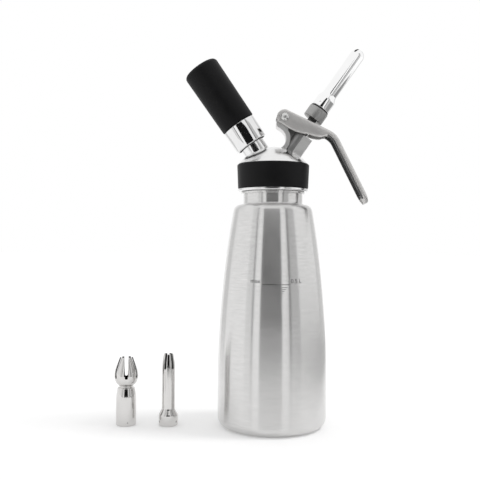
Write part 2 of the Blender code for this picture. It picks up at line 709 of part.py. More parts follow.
def make_spring(material, axis, seat):
    """One unbroken wire wound round the stem, from the guide to the collar."""
    start = seat + SEAT_GAP + SPRING_WIRE_RADIUS
    end = COLLAR_TOP_DISTANCE - COLLAR_THICKNESS - SEAT_GAP - SPRING_WIRE_RADIUS
    steps = SPRING_CURLS * POINTS_PER_CURL
    points = [spring_point(i / POINTS_PER_CURL, start, end - start) for i in range(steps + 1)]
    curve = bpy.data.curves.new("valve_spring", "CURVE")
    curve.dimensions = "3D"
    curve.bevel_depth = SPRING_WIRE_RADIUS
    curve.bevel_resolution = 1
    curve.use_fill_caps = True
    spline = curve.splines.new("POLY")
    spline.points.add(steps)
    for target, point in zip(spline.points, points):
        target.co = (*point, 1)
    spring = bpy.data.objects.new("valve_spring", curve)
    bpy.context.scene.collection.objects.link(spring)
    spring.parent = axis
    curve.materials.append(material)
    gap = min(
        (points[i] - points[j]).length
        for i in range(steps + 1)
        for j in range(i + POINTS_PER_CURL // 2, steps + 1)
    )
    print(f"valve_spring: least gap between curls {1000 * (gap - 2 * SPRING_WIRE_RADIUS):.2f} mm")


def make_collar(material, axis):
    """The collar that the lever pushes and the spring pushes back."""
    bottom = COLLAR_TOP_DISTANCE - COLLAR_THICKNESS
    bore = STEM_RADIUS + RUNNING_GAP / 2
    rim = arc(
        (COLLAR_RADIUS - COLLAR_ROUND, COLLAR_TOP_DISTANCE - COLLAR_ROUND), COLLAR_ROUND, 0, math.pi / 2, 2
    )
    profile = [(bore, bottom), (COLLAR_RADIUS, bottom)] + rim + [(bore, COLLAR_TOP_DISTANCE)]
    turned("stem_collar", profile, SMALL_SEGMENTS, material, axis)


def make_adapter(material, axis):
    """The ring on the stem's end, with the spigot that the tips screw onto."""
    top = ADAPTER_START + ADAPTER_LENGTH
    bore = STEM_RADIUS + RUNNING_GAP / 2
    bore_end = STEM_TOP_DISTANCE + SEAT_GAP
    spigot_end = top + SPIGOT_LENGTH
    profile = [
        (bore, ADAPTER_START),
        (ADAPTER_RADIUS - ADAPTER_CHAMFER, ADAPTER_START),
        (ADAPTER_RADIUS, ADAPTER_START + ADAPTER_CHAMFER),
        (ADAPTER_RADIUS, top - ADAPTER_CHAMFER),
        (ADAPTER_RADIUS - ADAPTER_CHAMFER, top),
        (SPIGOT_RADIUS, top),
        (SPIGOT_RADIUS, spigot_end - ADAPTER_CHAMFER),
        (SPIGOT_RADIUS - ADAPTER_CHAMFER, spigot_end),
        (OUTLET_RADIUS, spigot_end),
        (OUTLET_RADIUS, bore_end),
        (bore, bore_end),
    ]
    turned("tip_adapter", profile, MEDIUM_SEGMENTS, material, axis)
    return top


def make_washer(material, axis, adapter_top):
    start = adapter_top + WASHER_GAP
    bore = SPIGOT_RADIUS + RUNNING_GAP
    ring("tip_washer", bore, WASHER_RADIUS, start, start + WASHER_THICKNESS, MEDIUM_SEGMENTS, material, axis)
    return start + WASHER_THICKNESS + WASHER_GAP


def cut_dimples(tip, radius, facet=0):
    """Small blind dimples round a tip's base, for a spanner. The first is in the middle of a facet."""
    turn = math.tau * (facet + FACET_MIDDLE_SHARE) / TIP_SEGMENTS
    for number in range(DIMPLE_COUNT):
        bm = bmesh.new()
        bmesh.ops.create_cone(
            bm,
            cap_ends=True,
            segments=DIMPLE_SEGMENTS,
            radius1=DIMPLE_RADIUS,
            radius2=DIMPLE_RADIUS,
            depth=2 * DIMPLE_DEPTH,
        )
        cutter = link_mesh(f"{tip.name}_dimple_cutter_{number}", bm, None, tip)
        angle = turn - math.pi / 2 + math.tau * number / DIMPLE_COUNT
        cutter.location = (radius * math.cos(angle), radius * math.sin(angle), DIMPLE_HEIGHT)
        cutter.rotation_euler = (0, math.pi / 2, angle)
        combine(tip, cutter, "DIFFERENCE")


def cut_slots(tip, outline, reach, turns):
    """Cuts one slot through the tip's two sides for each turn about its axis."""
    for number, turn in enumerate(turns):
        cutter = extruded(f"{tip.name}_slot_cutter_{number}", outline, reach, parent=tip)
        cutter.rotation_euler = (0, 0, turn)
        combine(tip, cutter, "DIFFERENCE")


def slot_outline(bottom, top, low_width, high_width):
    """A slot with a round bottom that widens towards its open end."""
    half = low_width / 2
    end = arc((0, bottom + half), half, math.pi, math.tau, 4)
    return end + [(high_width / 2, top), (-high_width / 2, top)]


def tip_socket(base_radius):
    """The foot of a tip: its chamfered edge, listed from the bore outwards."""
    return [
        (TIP_BORE_RADIUS, 0),
        (base_radius - TIP_EDGE_CHAMFER, 0),
        (base_radius, TIP_EDGE_CHAMFER),
    ]


def make_straight_tip(material, axis, start):
    """The fitted tip: a tube with a domed end and one slit."""
    cone_end = STRAIGHT_BASE_LENGTH + STRAIGHT_CONE_LENGTH
    dome_centre = (0, STRAIGHT_TIP_LENGTH - STRAIGHT_TUBE_RADIUS)
    bore = STRAIGHT_TUBE_RADIUS - TIP_WALL
    outside = arc(dome_centre, STRAIGHT_TUBE_RADIUS, 0, math.pi / 2, 4)[:-1]
    inside = arc(dome_centre, bore, math.pi / 2, 0, 3)[1:]
    profile = tip_socket(STRAIGHT_BASE_RADIUS) + [
        (STRAIGHT_BASE_RADIUS, STRAIGHT_BASE_LENGTH),
        (STRAIGHT_TUBE_RADIUS, cone_end),
    ]
    profile += outside + [(0, STRAIGHT_TIP_LENGTH), (0, STRAIGHT_TIP_LENGTH - TIP_WALL)] + inside
    profile += [(bore, cone_end - TIP_WALL), (TIP_BORE_RADIUS, STRAIGHT_BASE_LENGTH - TIP_WALL)]
    tip = turned("straight_tip", profile, TIP_SEGMENTS, material, axis)
    tip.location = (0, 0, start)
    bottom = STRAIGHT_TIP_LENGTH - STRAIGHT_SLOT_DEPTH
    top = STRAIGHT_TIP_LENGTH + CUT_OVERRUN
    outline = slot_outline(bottom, top, STRAIGHT_SLOT_WIDTH, STRAIGHT_SLOT_WIDTH)
    cut_slots(tip, outline, STRAIGHT_TUBE_RADIUS + CUT_OVERRUN, [-STRAIGHT_SLOT_TURN_ANGLE])
    cut_dimples(tip, STRAIGHT_BASE_RADIUS, STRAIGHT_DIMPLE_FACET)
    return tip


def make_star_tip(material):
    """A loose tip whose end is cut into tines that lean inwards."""
    cone_end = STAR_BASE_LENGTH + STAR_CONE_LENGTH
    bend = STAR_LENGTH - STAR_SLOT_LENGTH * STAR_LEAN_SHARE
    bend_middle = STAR_LENGTH - STAR_SLOT_LENGTH / 2
    middle_radius = STAR_TUBE_RADIUS - (STAR_TUBE_RADIUS - STAR_END_RADIUS) * STAR_BEND_SHARE
    profile = tip_socket(STAR_BASE_RADIUS) + [
        (STAR_BASE_RADIUS, STAR_BASE_LENGTH),
        (STAR_TUBE_RADIUS, cone_end),
        (STAR_TUBE_RADIUS, bend),
        (middle_radius, bend_middle),
        (STAR_END_RADIUS, STAR_LENGTH),
        (STAR_END_RADIUS - TIP_WALL, STAR_LENGTH),
        (middle_radius - TIP_WALL, bend_middle),
        (STAR_TUBE_RADIUS - TIP_WALL, bend),
        (STAR_TUBE_RADIUS - TIP_WALL, cone_end - TIP_WALL),
        (TIP_BORE_RADIUS, STAR_BASE_LENGTH - TIP_WALL),
    ]
    tip = turned("star_tip", profile, TIP_SEGMENTS, material)
    tip.location = (STAR_X, LOOSE_TIP_Y, 0)
    tip.rotation_euler = (0, 0, STAR_TURN_ANGLE)
    slot_bottom = STAR_LENGTH - STAR_SLOT_LENGTH
    outline = slot_outline(slot_bottom, STAR_LENGTH + CUT_OVERRUN, STAR_SLOT_WIDTH, STAR_SLOT_WIDTH)
    turns = [math.tau * number / SLOT_COUNT for number in range(SLOT_COUNT // 2)]
    cut_slots(tip, outline, STAR_TUBE_RADIUS + CUT_OVERRUN, turns)
    cut_dimples(tip, STAR_BASE_RADIUS, STAR_DIMPLE_FACET)
    return tip


def make_tulip_tip(material):
    """A loose tip with a slotted bulb of pointed petals."""
    bulb_start = TULIP_WAIST_HEIGHT + TULIP_GROOVE_WIDTH
    groove_radius = TULIP_WAIST_RADIUS - TULIP_GROOVE_DEPTH
    taper_radius = TULIP_BASE_RADIUS - (TULIP_BASE_RADIUS - TULIP_WAIST_RADIUS) * TULIP_TAPER_SHARE
    profile = tip_socket(TULIP_BASE_RADIUS) + [
        (TULIP_BASE_RADIUS, TULIP_TAPER_START),
        (taper_radius, (TULIP_TAPER_START + TULIP_WAIST_HEIGHT) / 2),
        (TULIP_WAIST_RADIUS, TULIP_WAIST_HEIGHT),
        (groove_radius, TULIP_WAIST_HEIGHT + TULIP_GROOVE_DEPTH),
        (groove_radius, bulb_start - TULIP_GROOVE_DEPTH),
        (TULIP_WAIST_RADIUS, bulb_start),
    ]
    bulb = []
    for height_share, radius_share in zip(BULB_HEIGHT_SHARES, BULB_RADIUS_SHARES):
        radius = TULIP_MOUTH_RADIUS + (TULIP_BULB_RADIUS - TULIP_MOUTH_RADIUS) * radius_share
        bulb.append((radius, bulb_start + (TULIP_LENGTH - bulb_start) * height_share))
    waist_bore = groove_radius - TIP_WALL
    inside = [(radius - TIP_WALL, height) for radius, height in bulb[::-2]]
    profile += bulb + inside
    profile += [(waist_bore, bulb_start), (waist_bore, TULIP_WAIST_HEIGHT)]
    profile += [(TIP_BORE_RADIUS, TULIP_WAIST_HEIGHT / 2)]
    tip = turned("tulip_tip", profile, TIP_SEGMENTS, material)
    tip.location = (TULIP_X, LOOSE_TIP_Y, 0)
    tip.rotation_euler = (0, 0, TULIP_TURN_ANGLE)
    outline = slot_outline(
        TULIP_SLOT_BOTTOM, TULIP_LENGTH + CUT_OVERRUN, TULIP_SLOT_LOW_WIDTH, TULIP_SLOT_HIGH_WIDTH
    )
    turns = [math.tau * number / SLOT_COUNT for number in range(SLOT_COUNT // 2)]
    cut_slots(tip, outline, TULIP_BULB_RADIUS + CUT_OVERRUN, turns)
    cut_dimples(tip, TULIP_BASE_RADIUS)
    return tip


def channel_section(top, down, depth, width, web):
    """The lever's cross-section: a channel with round upper edges, open on its underside.

    top is the middle of the upper face, and down points from it to the open side.
    """
    half = width / 2
    inner = half - min(LEVER_WALL, half * NARROW_WALL_SHARE)
    corner = min(LEVER_CORNER, depth * SHALLOW_CORNER_SHARE, half * NARROW_CORNER_SHARE)
    soft = corner * (1 - math.sqrt(0.5))
    side = [(half, depth), (half, corner), (half - soft, soft), (half - corner, 0)]
    hollow = [(inner, depth), (inner, web + corner / 2), (inner - corner / 2, web)]
    outline = [(-across, along) for across, along in side] + side[::-1]
    outline += hollow + [(-across, along) for across, along in hollow[::-1]]
    return [
        Vector((top[0] + down[0] * along, across, top[1] + down[1] * along)) for across, along in outline
    ]


def share_between(places, values, place):
    """Reads a table of shares at a place between its first and last."""
    for index in range(len(places) - 1):
        if place <= places[index + 1]:
            part = (place - places[index]) / (places[index + 1] - places[index])
            return values[index] + (values[index + 1] - values[index]) * part
    return values[-1]


def lever_sections():
    """Cross-sections from the rounded pivot end, along the arm and the bend, to the handle's tongue."""
    downward = (0, -1)
    sections = []
    for share in LEVER_END_SHARES:
        rise = LEVER_END_RADIUS * math.sqrt(1 - share**2)
        top = min(rise, LEVER_TOP)
        depth = top + min(rise, LEVER_PIVOT_DEPTH - LEVER_TOP)
        web = min(LEVER_WALL, depth - END_HOLLOW_DEPTH - LEVER_CORNER / 2)
        place = (-LEVER_END_RADIUS * share, top)
        sections.append(channel_section(place, downward, depth, LEVER_WIDTH, web))
    for place, share in zip(BELLY_PLACE_SHARES, BELLY_DEPTH_SHARES):
        depth = HANDLE_DEPTH + (LEVER_ARM_DEPTH - HANDLE_DEPTH) * share
        top = (LEVER_ARM_LENGTH * place, LEVER_TOP)
        sections.append(channel_section(top, downward, depth, LEVER_WIDTH, LEVER_WALL))
    centre = (LEVER_ARM_LENGTH, LEVER_TOP - LEVER_BEND_RADIUS)
    bend = arc(centre, LEVER_BEND_RADIUS, math.pi / 2, math.pi / 2 - LEVER_BEND_ANGLE, BEND_STEPS)
    for step, point in enumerate(bend[1:], 1):
        angle = LEVER_BEND_ANGLE * step / BEND_STEPS
        down = (-math.sin(angle), -math.cos(angle))
        width = LEVER_WIDTH + (HANDLE_WIDTH - LEVER_WIDTH) * step / BEND_STEPS
        sections.append(channel_section(point, down, HANDLE_DEPTH, width, LEVER_WALL))
    return sections + handle_sections(bend[-1])


def handle_sections(start):
    """The straight handle: a channel as far as its solid end, which is round in plan and at its nose."""
    down = (-math.sin(LEVER_BEND_ANGLE), -math.cos(LEVER_BEND_ANGLE))
    along = (math.cos(LEVER_BEND_ANGLE), -math.sin(LEVER_BEND_ANGLE))
    solid_web = HANDLE_DEPTH - END_HOLLOW_DEPTH - LEVER_CORNER / 2
    hollow_end = HANDLE_LENGTH - HANDLE_SOLID_LENGTH
    round_start = HANDLE_LENGTH - HANDLE_END_ROUND
    stations = [
        (round_start, HANDLE_WIDTH, LEVER_WALL, 0),
        (hollow_end - HOLLOW_END_SLOPE / 2, HANDLE_WIDTH, LEVER_WALL, 0),
        (hollow_end + HOLLOW_END_SLOPE / 2, HANDLE_WIDTH, solid_web, 0),
    ]
    for share in HANDLE_END_SHARES:
        width = HANDLE_WIDTH * math.sqrt(1 - share**2)
        drop = HANDLE_NOSE_DROP * (1 - math.sqrt(1 - share**4))
        stations.append((round_start + HANDLE_END_ROUND * share, width, solid_web - drop, drop))
    sections = []
    for run, width, web, drop in stations:
        top = [start[i] + along[i] * run + down[i] * drop for i in range(2)]
        sections.append(channel_section(top, down, HANDLE_DEPTH - drop, width, web))
    return sections


def make_lever(material, axis):
    """A cast channel lofted through its cross-sections, with a slot for the stem and a hole for the pin."""
    bm = bmesh.new()
    rings = [[bm.verts.new(point) for point in section] for section in lever_sections()]
    count = len(rings[0])
    for near, far in zip(rings, rings[1:]):
        for index in range(count):
            following = (index + 1) % count
            bm.faces.new((near[index], near[following], far[following], far[index]))
    bm.faces.new(rings[0][::-1])
    bm.faces.new(rings[-1])
    lever = link_mesh("lever", bm, material, axis)
    lever.location = (-PIVOT_OFFSET, 0, PIVOT_DISTANCE)
    turn = SIDE_TILT_ANGLE - LEVER_SLOPE_ANGLE
    lever.rotation_euler = (0, -turn, 0)
    half = LEVER_WIDTH / 2 + CUT_OVERRUN
    hole = rod("lever_hole_cutter", PIVOT_PIN_RADIUS + RUNNING_GAP, -half, half, SMALL_SEGMENTS, lever)
    hole.rotation_euler = (math.pi / 2, 0, 0)
    combine(lever, hole, "DIFFERENCE")
    slot_radius = STEM_RADIUS + STEM_SLOT_CLEARANCE
    right = arc((STEM_SLOT_PLAY, 0), slot_radius, -math.pi / 2, math.pi / 2, 6)
    left = arc((-STEM_SLOT_PLAY, 0), slot_radius, math.pi / 2, 3 * math.pi / 2, 6)
    slot = extruded("stem_slot_cutter", right + left, LEVER_TOP, parent=axis)
    slot.rotation_euler = (math.pi / 2, 0, 0)
    slot.location = (0, 0, COLLAR_TOP_DISTANCE + LEVER_TOP)
    combine(lever, slot, "DIFFERENCE")
    return lever


def make_pivot(material, axis):
    """The pin through the lug and both cheeks, and the cap on its far end."""
    cheek = LEVER_WIDTH / 2 + SEAT_GAP
    end = cheek + PIVOT_END_LENGTH
    sphere = (PIVOT_HEAD_RADIUS**2 + PIVOT_HEAD_HEIGHT**2) / (2 * PIVOT_HEAD_HEIGHT)
    rise = math.asin(PIVOT_HEAD_RADIUS / sphere)
    crown = cheek + PIVOT_HEAD_HEIGHT
    centre = (0, crown - sphere)
    dimple = math.asin(PIVOT_DIMPLE_RADIUS / sphere)
    head = arc(centre, sphere, math.pi / 2 - rise, math.pi / 2 - dimple, 4)
    pin_profile = [(0, -end), (PIVOT_PIN_RADIUS, -end), (PIVOT_PIN_RADIUS, cheek)] + head
    pin_profile += [(0, crown - PIVOT_DIMPLE_DEPTH)]
    pin = turned("pivot_pin", pin_profile, SMALL_SEGMENTS, material, axis)
    bore = PIVOT_PIN_RADIUS + RUNNING_GAP
    dome = arc(centre, sphere, math.pi / 2 - rise, math.pi / 2, 5)
    cap_profile = [(bore, cheek)] + dome[:-1] + [(0, crown), (0, end + SEAT_GAP), (bore, end + SEAT_GAP)]
    cap = turned("pivot_cap", cap_profile, SMALL_SEGMENTS, material, axis)
    for piece, turn in ((pin, math.pi / 2), (cap, -math.pi / 2)):
        piece.location = (-PIVOT_OFFSET, 0, PIVOT_DISTANCE)
        piece.rotation_euler = (turn, 0, 0)


def make_piercing_set(steel, rubber, axis):
    """The pin in the port's bore with its retainer, the charger's gasket and the check valve."""
    fit = PORT_BORE_RADIUS - RUNNING_GAP
    pin_start = PORT_REACH - PORT_BORE_DEPTH + SEAT_GAP
    flange_top = pin_start + PIN_FLANGE_THICKNESS
    pin_top = flange_top + PIN_LENGTH
    pin_profile = [
        (0, pin_start),
        (fit, pin_start),
        (fit, flange_top),
        (PIN_RADIUS, flange_top),
        (PIN_RADIUS, pin_top - PIN_POINT_LENGTH),
        (PIN_POINT_RADIUS, pin_top),
        (0, pin_top),
    ]
    turned("piercing_pin", pin_profile, SMALL_SEGMENTS, steel, axis)
    retainer_start = flange_top + SEAT_GAP
    retainer_end = retainer_start + RETAINER_THICKNESS
    bore = PIN_RADIUS + RUNNING_GAP
    ring("pin_retainer", bore, fit, retainer_start, retainer_end, SMALL_SEGMENTS, steel, axis)
    gasket_start = retainer_end + SEAT_GAP
    gasket_end = gasket_start + CHARGER_GASKET_THICKNESS
    ring("charger_gasket", bore, fit, gasket_start, gasket_end, SMALL_SEGMENTS, rubber, axis)
    seat = SEAT_DISTANCE - SEAT_GAP
    check_profile = [
        (0, seat - CHECK_VALVE_THICKNESS),
        (CHECK_VALVE_RADIUS, seat - CHECK_VALVE_THICKNESS / 2),
        (CHECK_VALVE_RADIUS, seat),
        (GAS_WAY_RADIUS - RUNNING_GAP, seat),
        (GAS_WAY_RADIUS - RUNNING_GAP, seat + CHECK_STEM_LENGTH),
        (0, seat + CHECK_STEM_LENGTH),
    ]
    turned("check_valve", check_profile, SMALL_SEGMENTS, rubber, axis)
    return gasket_end + SEAT_GAP


def make_charger(material, axis, start):
    """The gas charger: a steel bulb whose neck the pin has pierced."""
    neck_end = start + CHARGER_NECK_LENGTH
    body_start = neck_end + CHARGER_SHOULDER_LENGTH
    end_centre = (0, start + CHARGER_LENGTH - CHARGER_RADIUS)
    shoulder_middle = CHARGER_NECK_RADIUS + (CHARGER_RADIUS - CHARGER_NECK_RADIUS) * CHARGER_SHOULDER_SHARE
    profile = [
        (0, start + CHARGER_HOLE_DEPTH),
        (CHARGER_HOLE_RADIUS, start + CHARGER_HOLE_DEPTH),
        (CHARGER_HOLE_RADIUS, start),
        (CHARGER_NECK_RADIUS, start),
        (CHARGER_NECK_RADIUS, neck_end),
        (shoulder_middle, (neck_end + body_start) / 2),
        (CHARGER_RADIUS, body_start),
    ]
    profile += arc(end_centre, CHARGER_RADIUS, 0, math.pi / 2, 4)[:-1] + [(0, start + CHARGER_LENGTH)]
    turned("charger", profile, SMALL_SEGMENTS, material, axis)


def make_holder(steel, silicone, axis, charger_start):
    """The steel cup that screws onto the port, and its silicone sleeve."""
    bore = CHARGER_RADIUS + CUP_CLEARANCE
    step = CUP_START + CUP_MOUTH_LENGTH
    charger_end = charger_start + CHARGER_LENGTH
    bore_centre = (0, charger_end - CHARGER_RADIUS)
    cup_radius = bore + CUP_WALL
    cup_end = charger_end + CUP_CLEARANCE + CUP_END_WALL
    inside = arc(bore_centre, bore, math.pi / 2, 0, 4)
    corner_centre = (cup_radius - CUP_CORNER, cup_end - CUP_CORNER)
    outside = arc(corner_centre, CUP_CORNER, 0, math.pi / 2, 3)
    profile = [
        (bore + CUP_MOUTH_CHAMFER, CUP_START),
        (CUP_MOUTH_RADIUS - CUP_EDGE_ROUND, CUP_START),
        (CUP_MOUTH_RADIUS, CUP_START + CUP_EDGE_ROUND),
        (CUP_STEP_RADIUS, step - CUP_EDGE_ROUND),
        (CUP_STEP_RADIUS - CUP_EDGE_ROUND, step),
        (cup_radius, step),
    ]
    profile += outside + [(0, cup_end), (0, inside[0][1])] + inside[1:]
    profile += [(bore, CUP_START + CUP_MOUTH_CHAMFER)]
    turned("charger_cup", profile, MEDIUM_SEGMENTS, steel, axis)
    start = step + SEAT_GAP
    sleeve_bore = cup_radius + SEAT_GAP
    floor = cup_end + SEAT_GAP
    sleeve_end = floor + SLEEVE_END_THICKNESS
    corner = arc(
        (SLEEVE_END_RADIUS - SLEEVE_CORNER, sleeve_end - SLEEVE_CORNER), SLEEVE_CORNER, 0, math.pi / 2, 4
    )
    crown = [(corner[-1][0] / 2, sleeve_end + SLEEVE_CROWN / 2), (0, sleeve_end + SLEEVE_CROWN)]
    inner_corner = arc(corner_centre, CUP_CORNER + SEAT_GAP, 0, math.pi / 2, 3)
    sleeve = [
        (sleeve_bore, start),
        (SLEEVE_START_RADIUS - GRIP_ROUND, start),
        (SLEEVE_START_RADIUS, start + GRIP_ROUND),
    ]
    sleeve += corner + crown + [(0, floor)] + inner_corner[::-1]
    turned("cup_sleeve", sleeve, MEDIUM_SEGMENTS, silicone, axis)


def main():
    clear_scene()
    brushed = make_material("brushed_steel", STEEL_COLOUR, 0.35, 1.0)
    polished = make_material("polished_steel", POLISHED_COLOUR, 0.08, 1.0)
    cast = make_material("satin_cast_steel", CAST_COLOUR, 0.40, 1.0)
    dull = make_material("dull_steel", DULL_COLOUR, 0.45, 1.0)
    silicone = make_material("black_silicone", SILICONE_COLOUR, 0.65, 0.0)
    rubber = make_material("black_rubber", RUBBER_COLOUR, 0.6, 0.0)
    plastic = make_material("white_plastic", PLASTIC_COLOUR, 0.4, 0.0)
    valve_axis = make_axis("valve_axis", (0, 0, SIDE_AXES_HEIGHT), SIDE_TILT_ANGLE)
    charger_axis = make_axis("charger_axis", (0, 0, SIDE_AXES_HEIGHT), -SIDE_TILT_ANGLE)
    make_bottle(brushed)
    make_head(polished, valve_axis, charger_axis)
    make_grip_ring(silicone)
    make_head_gasket(silicone)
    make_stem(polished, valve_axis)
    make_valve_seal(rubber, polished, valve_axis)
    make_o_ring(rubber, valve_axis)
    guide_top = make_guide(plastic, valve_axis)
    make_spring(polished, valve_axis, guide_top)
    make_collar(dull, valve_axis)
    adapter_top = make_adapter(dull, valve_axis)
    tip_start = make_washer(rubber, valve_axis, adapter_top)
    make_straight_tip(polished, valve_axis, tip_start)
    make_star_tip(polished)
    make_tulip_tip(polished)
    make_lever(cast, valve_axis)
    make_pivot(polished, valve_axis)
    charger_start = make_piercing_set(polished, rubber, charger_axis)
    make_charger(brushed, charger_axis, charger_start)
    make_holder(polished, silicone, charger_axis, charger_start)


main()
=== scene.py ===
"""Looks of the whipped cream dispenser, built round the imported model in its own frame.

Metres, +Z up, +X towards the lever. Outlines are written in millimetres and scaled once.
Distances along a side axis are counted from the point where it meets the bottle's axis.
"""

import math

import bmesh
import bpy
from mathutils import Matrix, Vector


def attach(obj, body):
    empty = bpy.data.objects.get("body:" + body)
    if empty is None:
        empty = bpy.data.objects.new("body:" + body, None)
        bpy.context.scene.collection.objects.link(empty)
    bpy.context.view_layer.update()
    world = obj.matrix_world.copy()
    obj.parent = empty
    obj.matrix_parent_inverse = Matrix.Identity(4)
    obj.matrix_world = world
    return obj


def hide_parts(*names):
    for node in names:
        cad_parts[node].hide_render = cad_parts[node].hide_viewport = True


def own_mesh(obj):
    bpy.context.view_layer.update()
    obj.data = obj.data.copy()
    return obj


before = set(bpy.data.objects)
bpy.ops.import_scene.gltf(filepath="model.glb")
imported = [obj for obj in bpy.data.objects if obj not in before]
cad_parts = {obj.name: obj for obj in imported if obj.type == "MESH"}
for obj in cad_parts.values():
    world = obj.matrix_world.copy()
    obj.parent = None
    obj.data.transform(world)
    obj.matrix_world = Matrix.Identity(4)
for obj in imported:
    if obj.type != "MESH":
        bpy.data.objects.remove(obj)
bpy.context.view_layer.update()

MM = 0.001
HALF_TURN = math.pi
QUARTER_TURN = math.pi / 2

# Facets
WIDE_STEPS = 160
MEDIUM_STEPS = 96
NARROW_STEPS = 64
HOLE_STEPS = 32
DIMPLE_STEPS = 24
SMOOTH_BELOW = math.radians(32)
ROUND_ABOVE = math.radians(35)
SLIGHT_TURN = math.radians(20)
MERGE_DISTANCE = 0.001

# Side axes, and the pivot's place across and along the valve's axis
SIDE_TILT = math.radians(34.7)
SIDE_AXES_HEIGHT = 184.6
PIVOT = (-17.4, 39.05)
LEVER_SLOPE = math.radians(25.2)


# Helpers


def shifted(frame_matrix, x, y, z):
    """A frame moved along its own axes, in millimetres."""
    return frame_matrix @ Matrix.Translation((x * MM, y * MM, z * MM))


def turned(frame_matrix, angle, axis):
    """A frame turned about one of its own axes."""
    return frame_matrix @ Matrix.Rotation(angle, 4, axis)


AXES_FRAME = shifted(Matrix.Identity(4), 0, 0, SIDE_AXES_HEIGHT)
VALVE_FRAME = turned(AXES_FRAME, SIDE_TILT, "Y")
CHARGER_FRAME = turned(AXES_FRAME, -SIDE_TILT, "Y")
PIVOT_FRAME = shifted(VALVE_FRAME, PIVOT[0], 0, PIVOT[1])
LEVER_FRAME = turned(PIVOT_FRAME, LEVER_SLOPE - SIDE_TILT, "Y")


def arc(centre, radius, start, end, steps):
    """Points on an arc between two angles, both ends included."""
    angles = [start + (end - start) * i / steps for i in range(steps + 1)]
    return [(centre[0] + radius * math.cos(a), centre[1] + radius * math.sin(a)) for a in angles]


def softened(outline, radius, steps=3):
    """Rounds the corners of a closed outline. Corners on the axis, and slight ones, stay."""
    soft = []
    count = len(outline)
    for index, corner in enumerate(outline):
        here = Vector(corner)
        back = Vector(outline[index - 1]) - here
        onward = Vector(outline[(index + 1) % count]) - here
        on_axis = here.x < 0.001
        if on_axis or back.length < 0.01 or onward.length < 0.01 or back.angle(-onward) < SLIGHT_TURN:
            soft.append(tuple(here))
            continue
        reach = min(radius, back.length * 0.45, onward.length * 0.45)
        first = here + back.normalized() * reach
        last = here + onward.normalized() * reach
        for step in range(steps + 1):
            t = step / steps
            point = first * (1 - t) ** 2 + here * 2 * t * (1 - t) + last * t**2
            soft.append(tuple(point))
    return soft


def place(name, bm, frame_matrix=None):
    """Makes an object of a bmesh in millimetres, moved to its place in metres, with outward faces."""
    bmesh.ops.remove_doubles(bm, verts=bm.verts[:], dist=MERGE_DISTANCE)
    bmesh.ops.recalc_face_normals(bm, faces=bm.faces[:])
    if bm.calc_volume(signed=True) < 0:
        bmesh.ops.reverse_faces(bm, faces=bm.faces[:])
    bm.transform(Matrix.Scale(MM, 4))
    if frame_matrix:
        bm.transform(frame_matrix)
    obj = built(name, bm)
    smooth(obj.data)
    return obj


def built(name, bm):
    """Makes an object of a finished bmesh, in the scene."""
    mesh = bpy.data.meshes.new(name)
    bm.to_mesh(mesh)
    bm.free()
    return linked(name, mesh)


def linked(name, data):
    """Makes an object of a mesh, a curve, a lamp or a camera, in the scene."""
    obj = bpy.data.objects.new(name, data)
    bpy.context.scene.collection.objects.link(obj)
    return obj


def mesh_of(name, curve):
    """The mesh of a curve or a text, whose own object is deleted again."""
    obj = linked(name, curve)
    graph = bpy.context.evaluated_depsgraph_get()
    mesh = bpy.data.meshes.new_from_object(obj.evaluated_get(graph))
    bpy.data.objects.remove(obj, do_unlink=True)
    return mesh


def smooth(mesh):
    """Shades a mesh smooth, apart from its sharp edges."""
    mesh.shade_smooth()
    mesh.set_sharp_from_angle(angle=SMOOTH_BELOW)


def spun(name, outline, steps, frame_matrix=None):
    """Turns a closed (radius, height) outline about local Z."""
    bm = bmesh.new()
    points = [bm.verts.new((radius, 0, height)) for radius, height in outline]
    for first, second in zip(points, points[1:] + points[:1]):
        if first.co.x > 0 or second.co.x > 0:
            bm.edges.new((first, second))
    bmesh.ops.spin(
        bm, geom=bm.verts[:] + bm.edges[:], cent=(0, 0, 0), axis=(0, 0, 1),
        angle=math.tau, steps=steps, use_merge=True,
    )
    return place(name, bm, frame_matrix)


def extruded(name, outline, half_width, frame_matrix=None):
    """Pushes an (x, z) outline out along local Y to both sides."""
    bm = bmesh.new()
    face = bm.faces.new([bm.verts.new((x, -half_width, z)) for x, z in outline])
    push(bm, bmesh.ops.extrude_face_region(bm, geom=[face]), (0, 2 * half_width, 0))
    return place(name, bm, frame_matrix)


def push(bm, extrusion, offset):
    """Moves the corners that an extrusion has made."""
    moved = [item for item in extrusion["geom"] if isinstance(item, bmesh.types.BMVert)]
    bmesh.ops.translate(bm, verts=moved, vec=offset)


def thread(name, radius, height, start, pitch, turns, width, frame_matrix=None):
    """A screw thread's ridge: one tooth wound up the axis. A negative height points inwards."""
    bm = bmesh.new()
    root = -0.2 if height > 0 else 0.2
    tooth = [(root, -width / 2), (0, -width / 2), (height, -width / 6)]
    tooth += [(height, width / 6), (0, width / 2), (root, width / 2)]
    face = bm.faces.new([bm.verts.new((radius + out, 0, start + up)) for out, up in tooth])
    steps = int(NARROW_STEPS * turns)
    bmesh.ops.spin(
        bm, geom=[face], cent=(0, 0, 0), axis=(0, 0, 1), dvec=(0, 0, pitch * turns / steps),
        angle=math.tau * turns, steps=steps, use_merge=False,
    )
    return place(name, bm, frame_matrix)


def cut(obj, cutters, operation="DIFFERENCE"):
    """Applies Boolean cuts to obj and deletes the cutters."""
    for cutter in cutters:
        modifier = obj.modifiers.new("cut", "BOOLEAN")
        modifier.operation = operation
        modifier.object = cutter
        modifier.solver = "EXACT"
    settle(obj)
    for cutter in cutters:
        bpy.data.objects.remove(cutter, do_unlink=True)


def settle(obj):
    """Replaces the object's mesh with the one that its modifiers make."""
    graph = bpy.context.evaluated_depsgraph_get()
    graph.update()
    mesh = bpy.data.meshes.new_from_object(obj.evaluated_get(graph))
    obj.modifiers.clear()
    obj.data = mesh
    smooth(mesh)


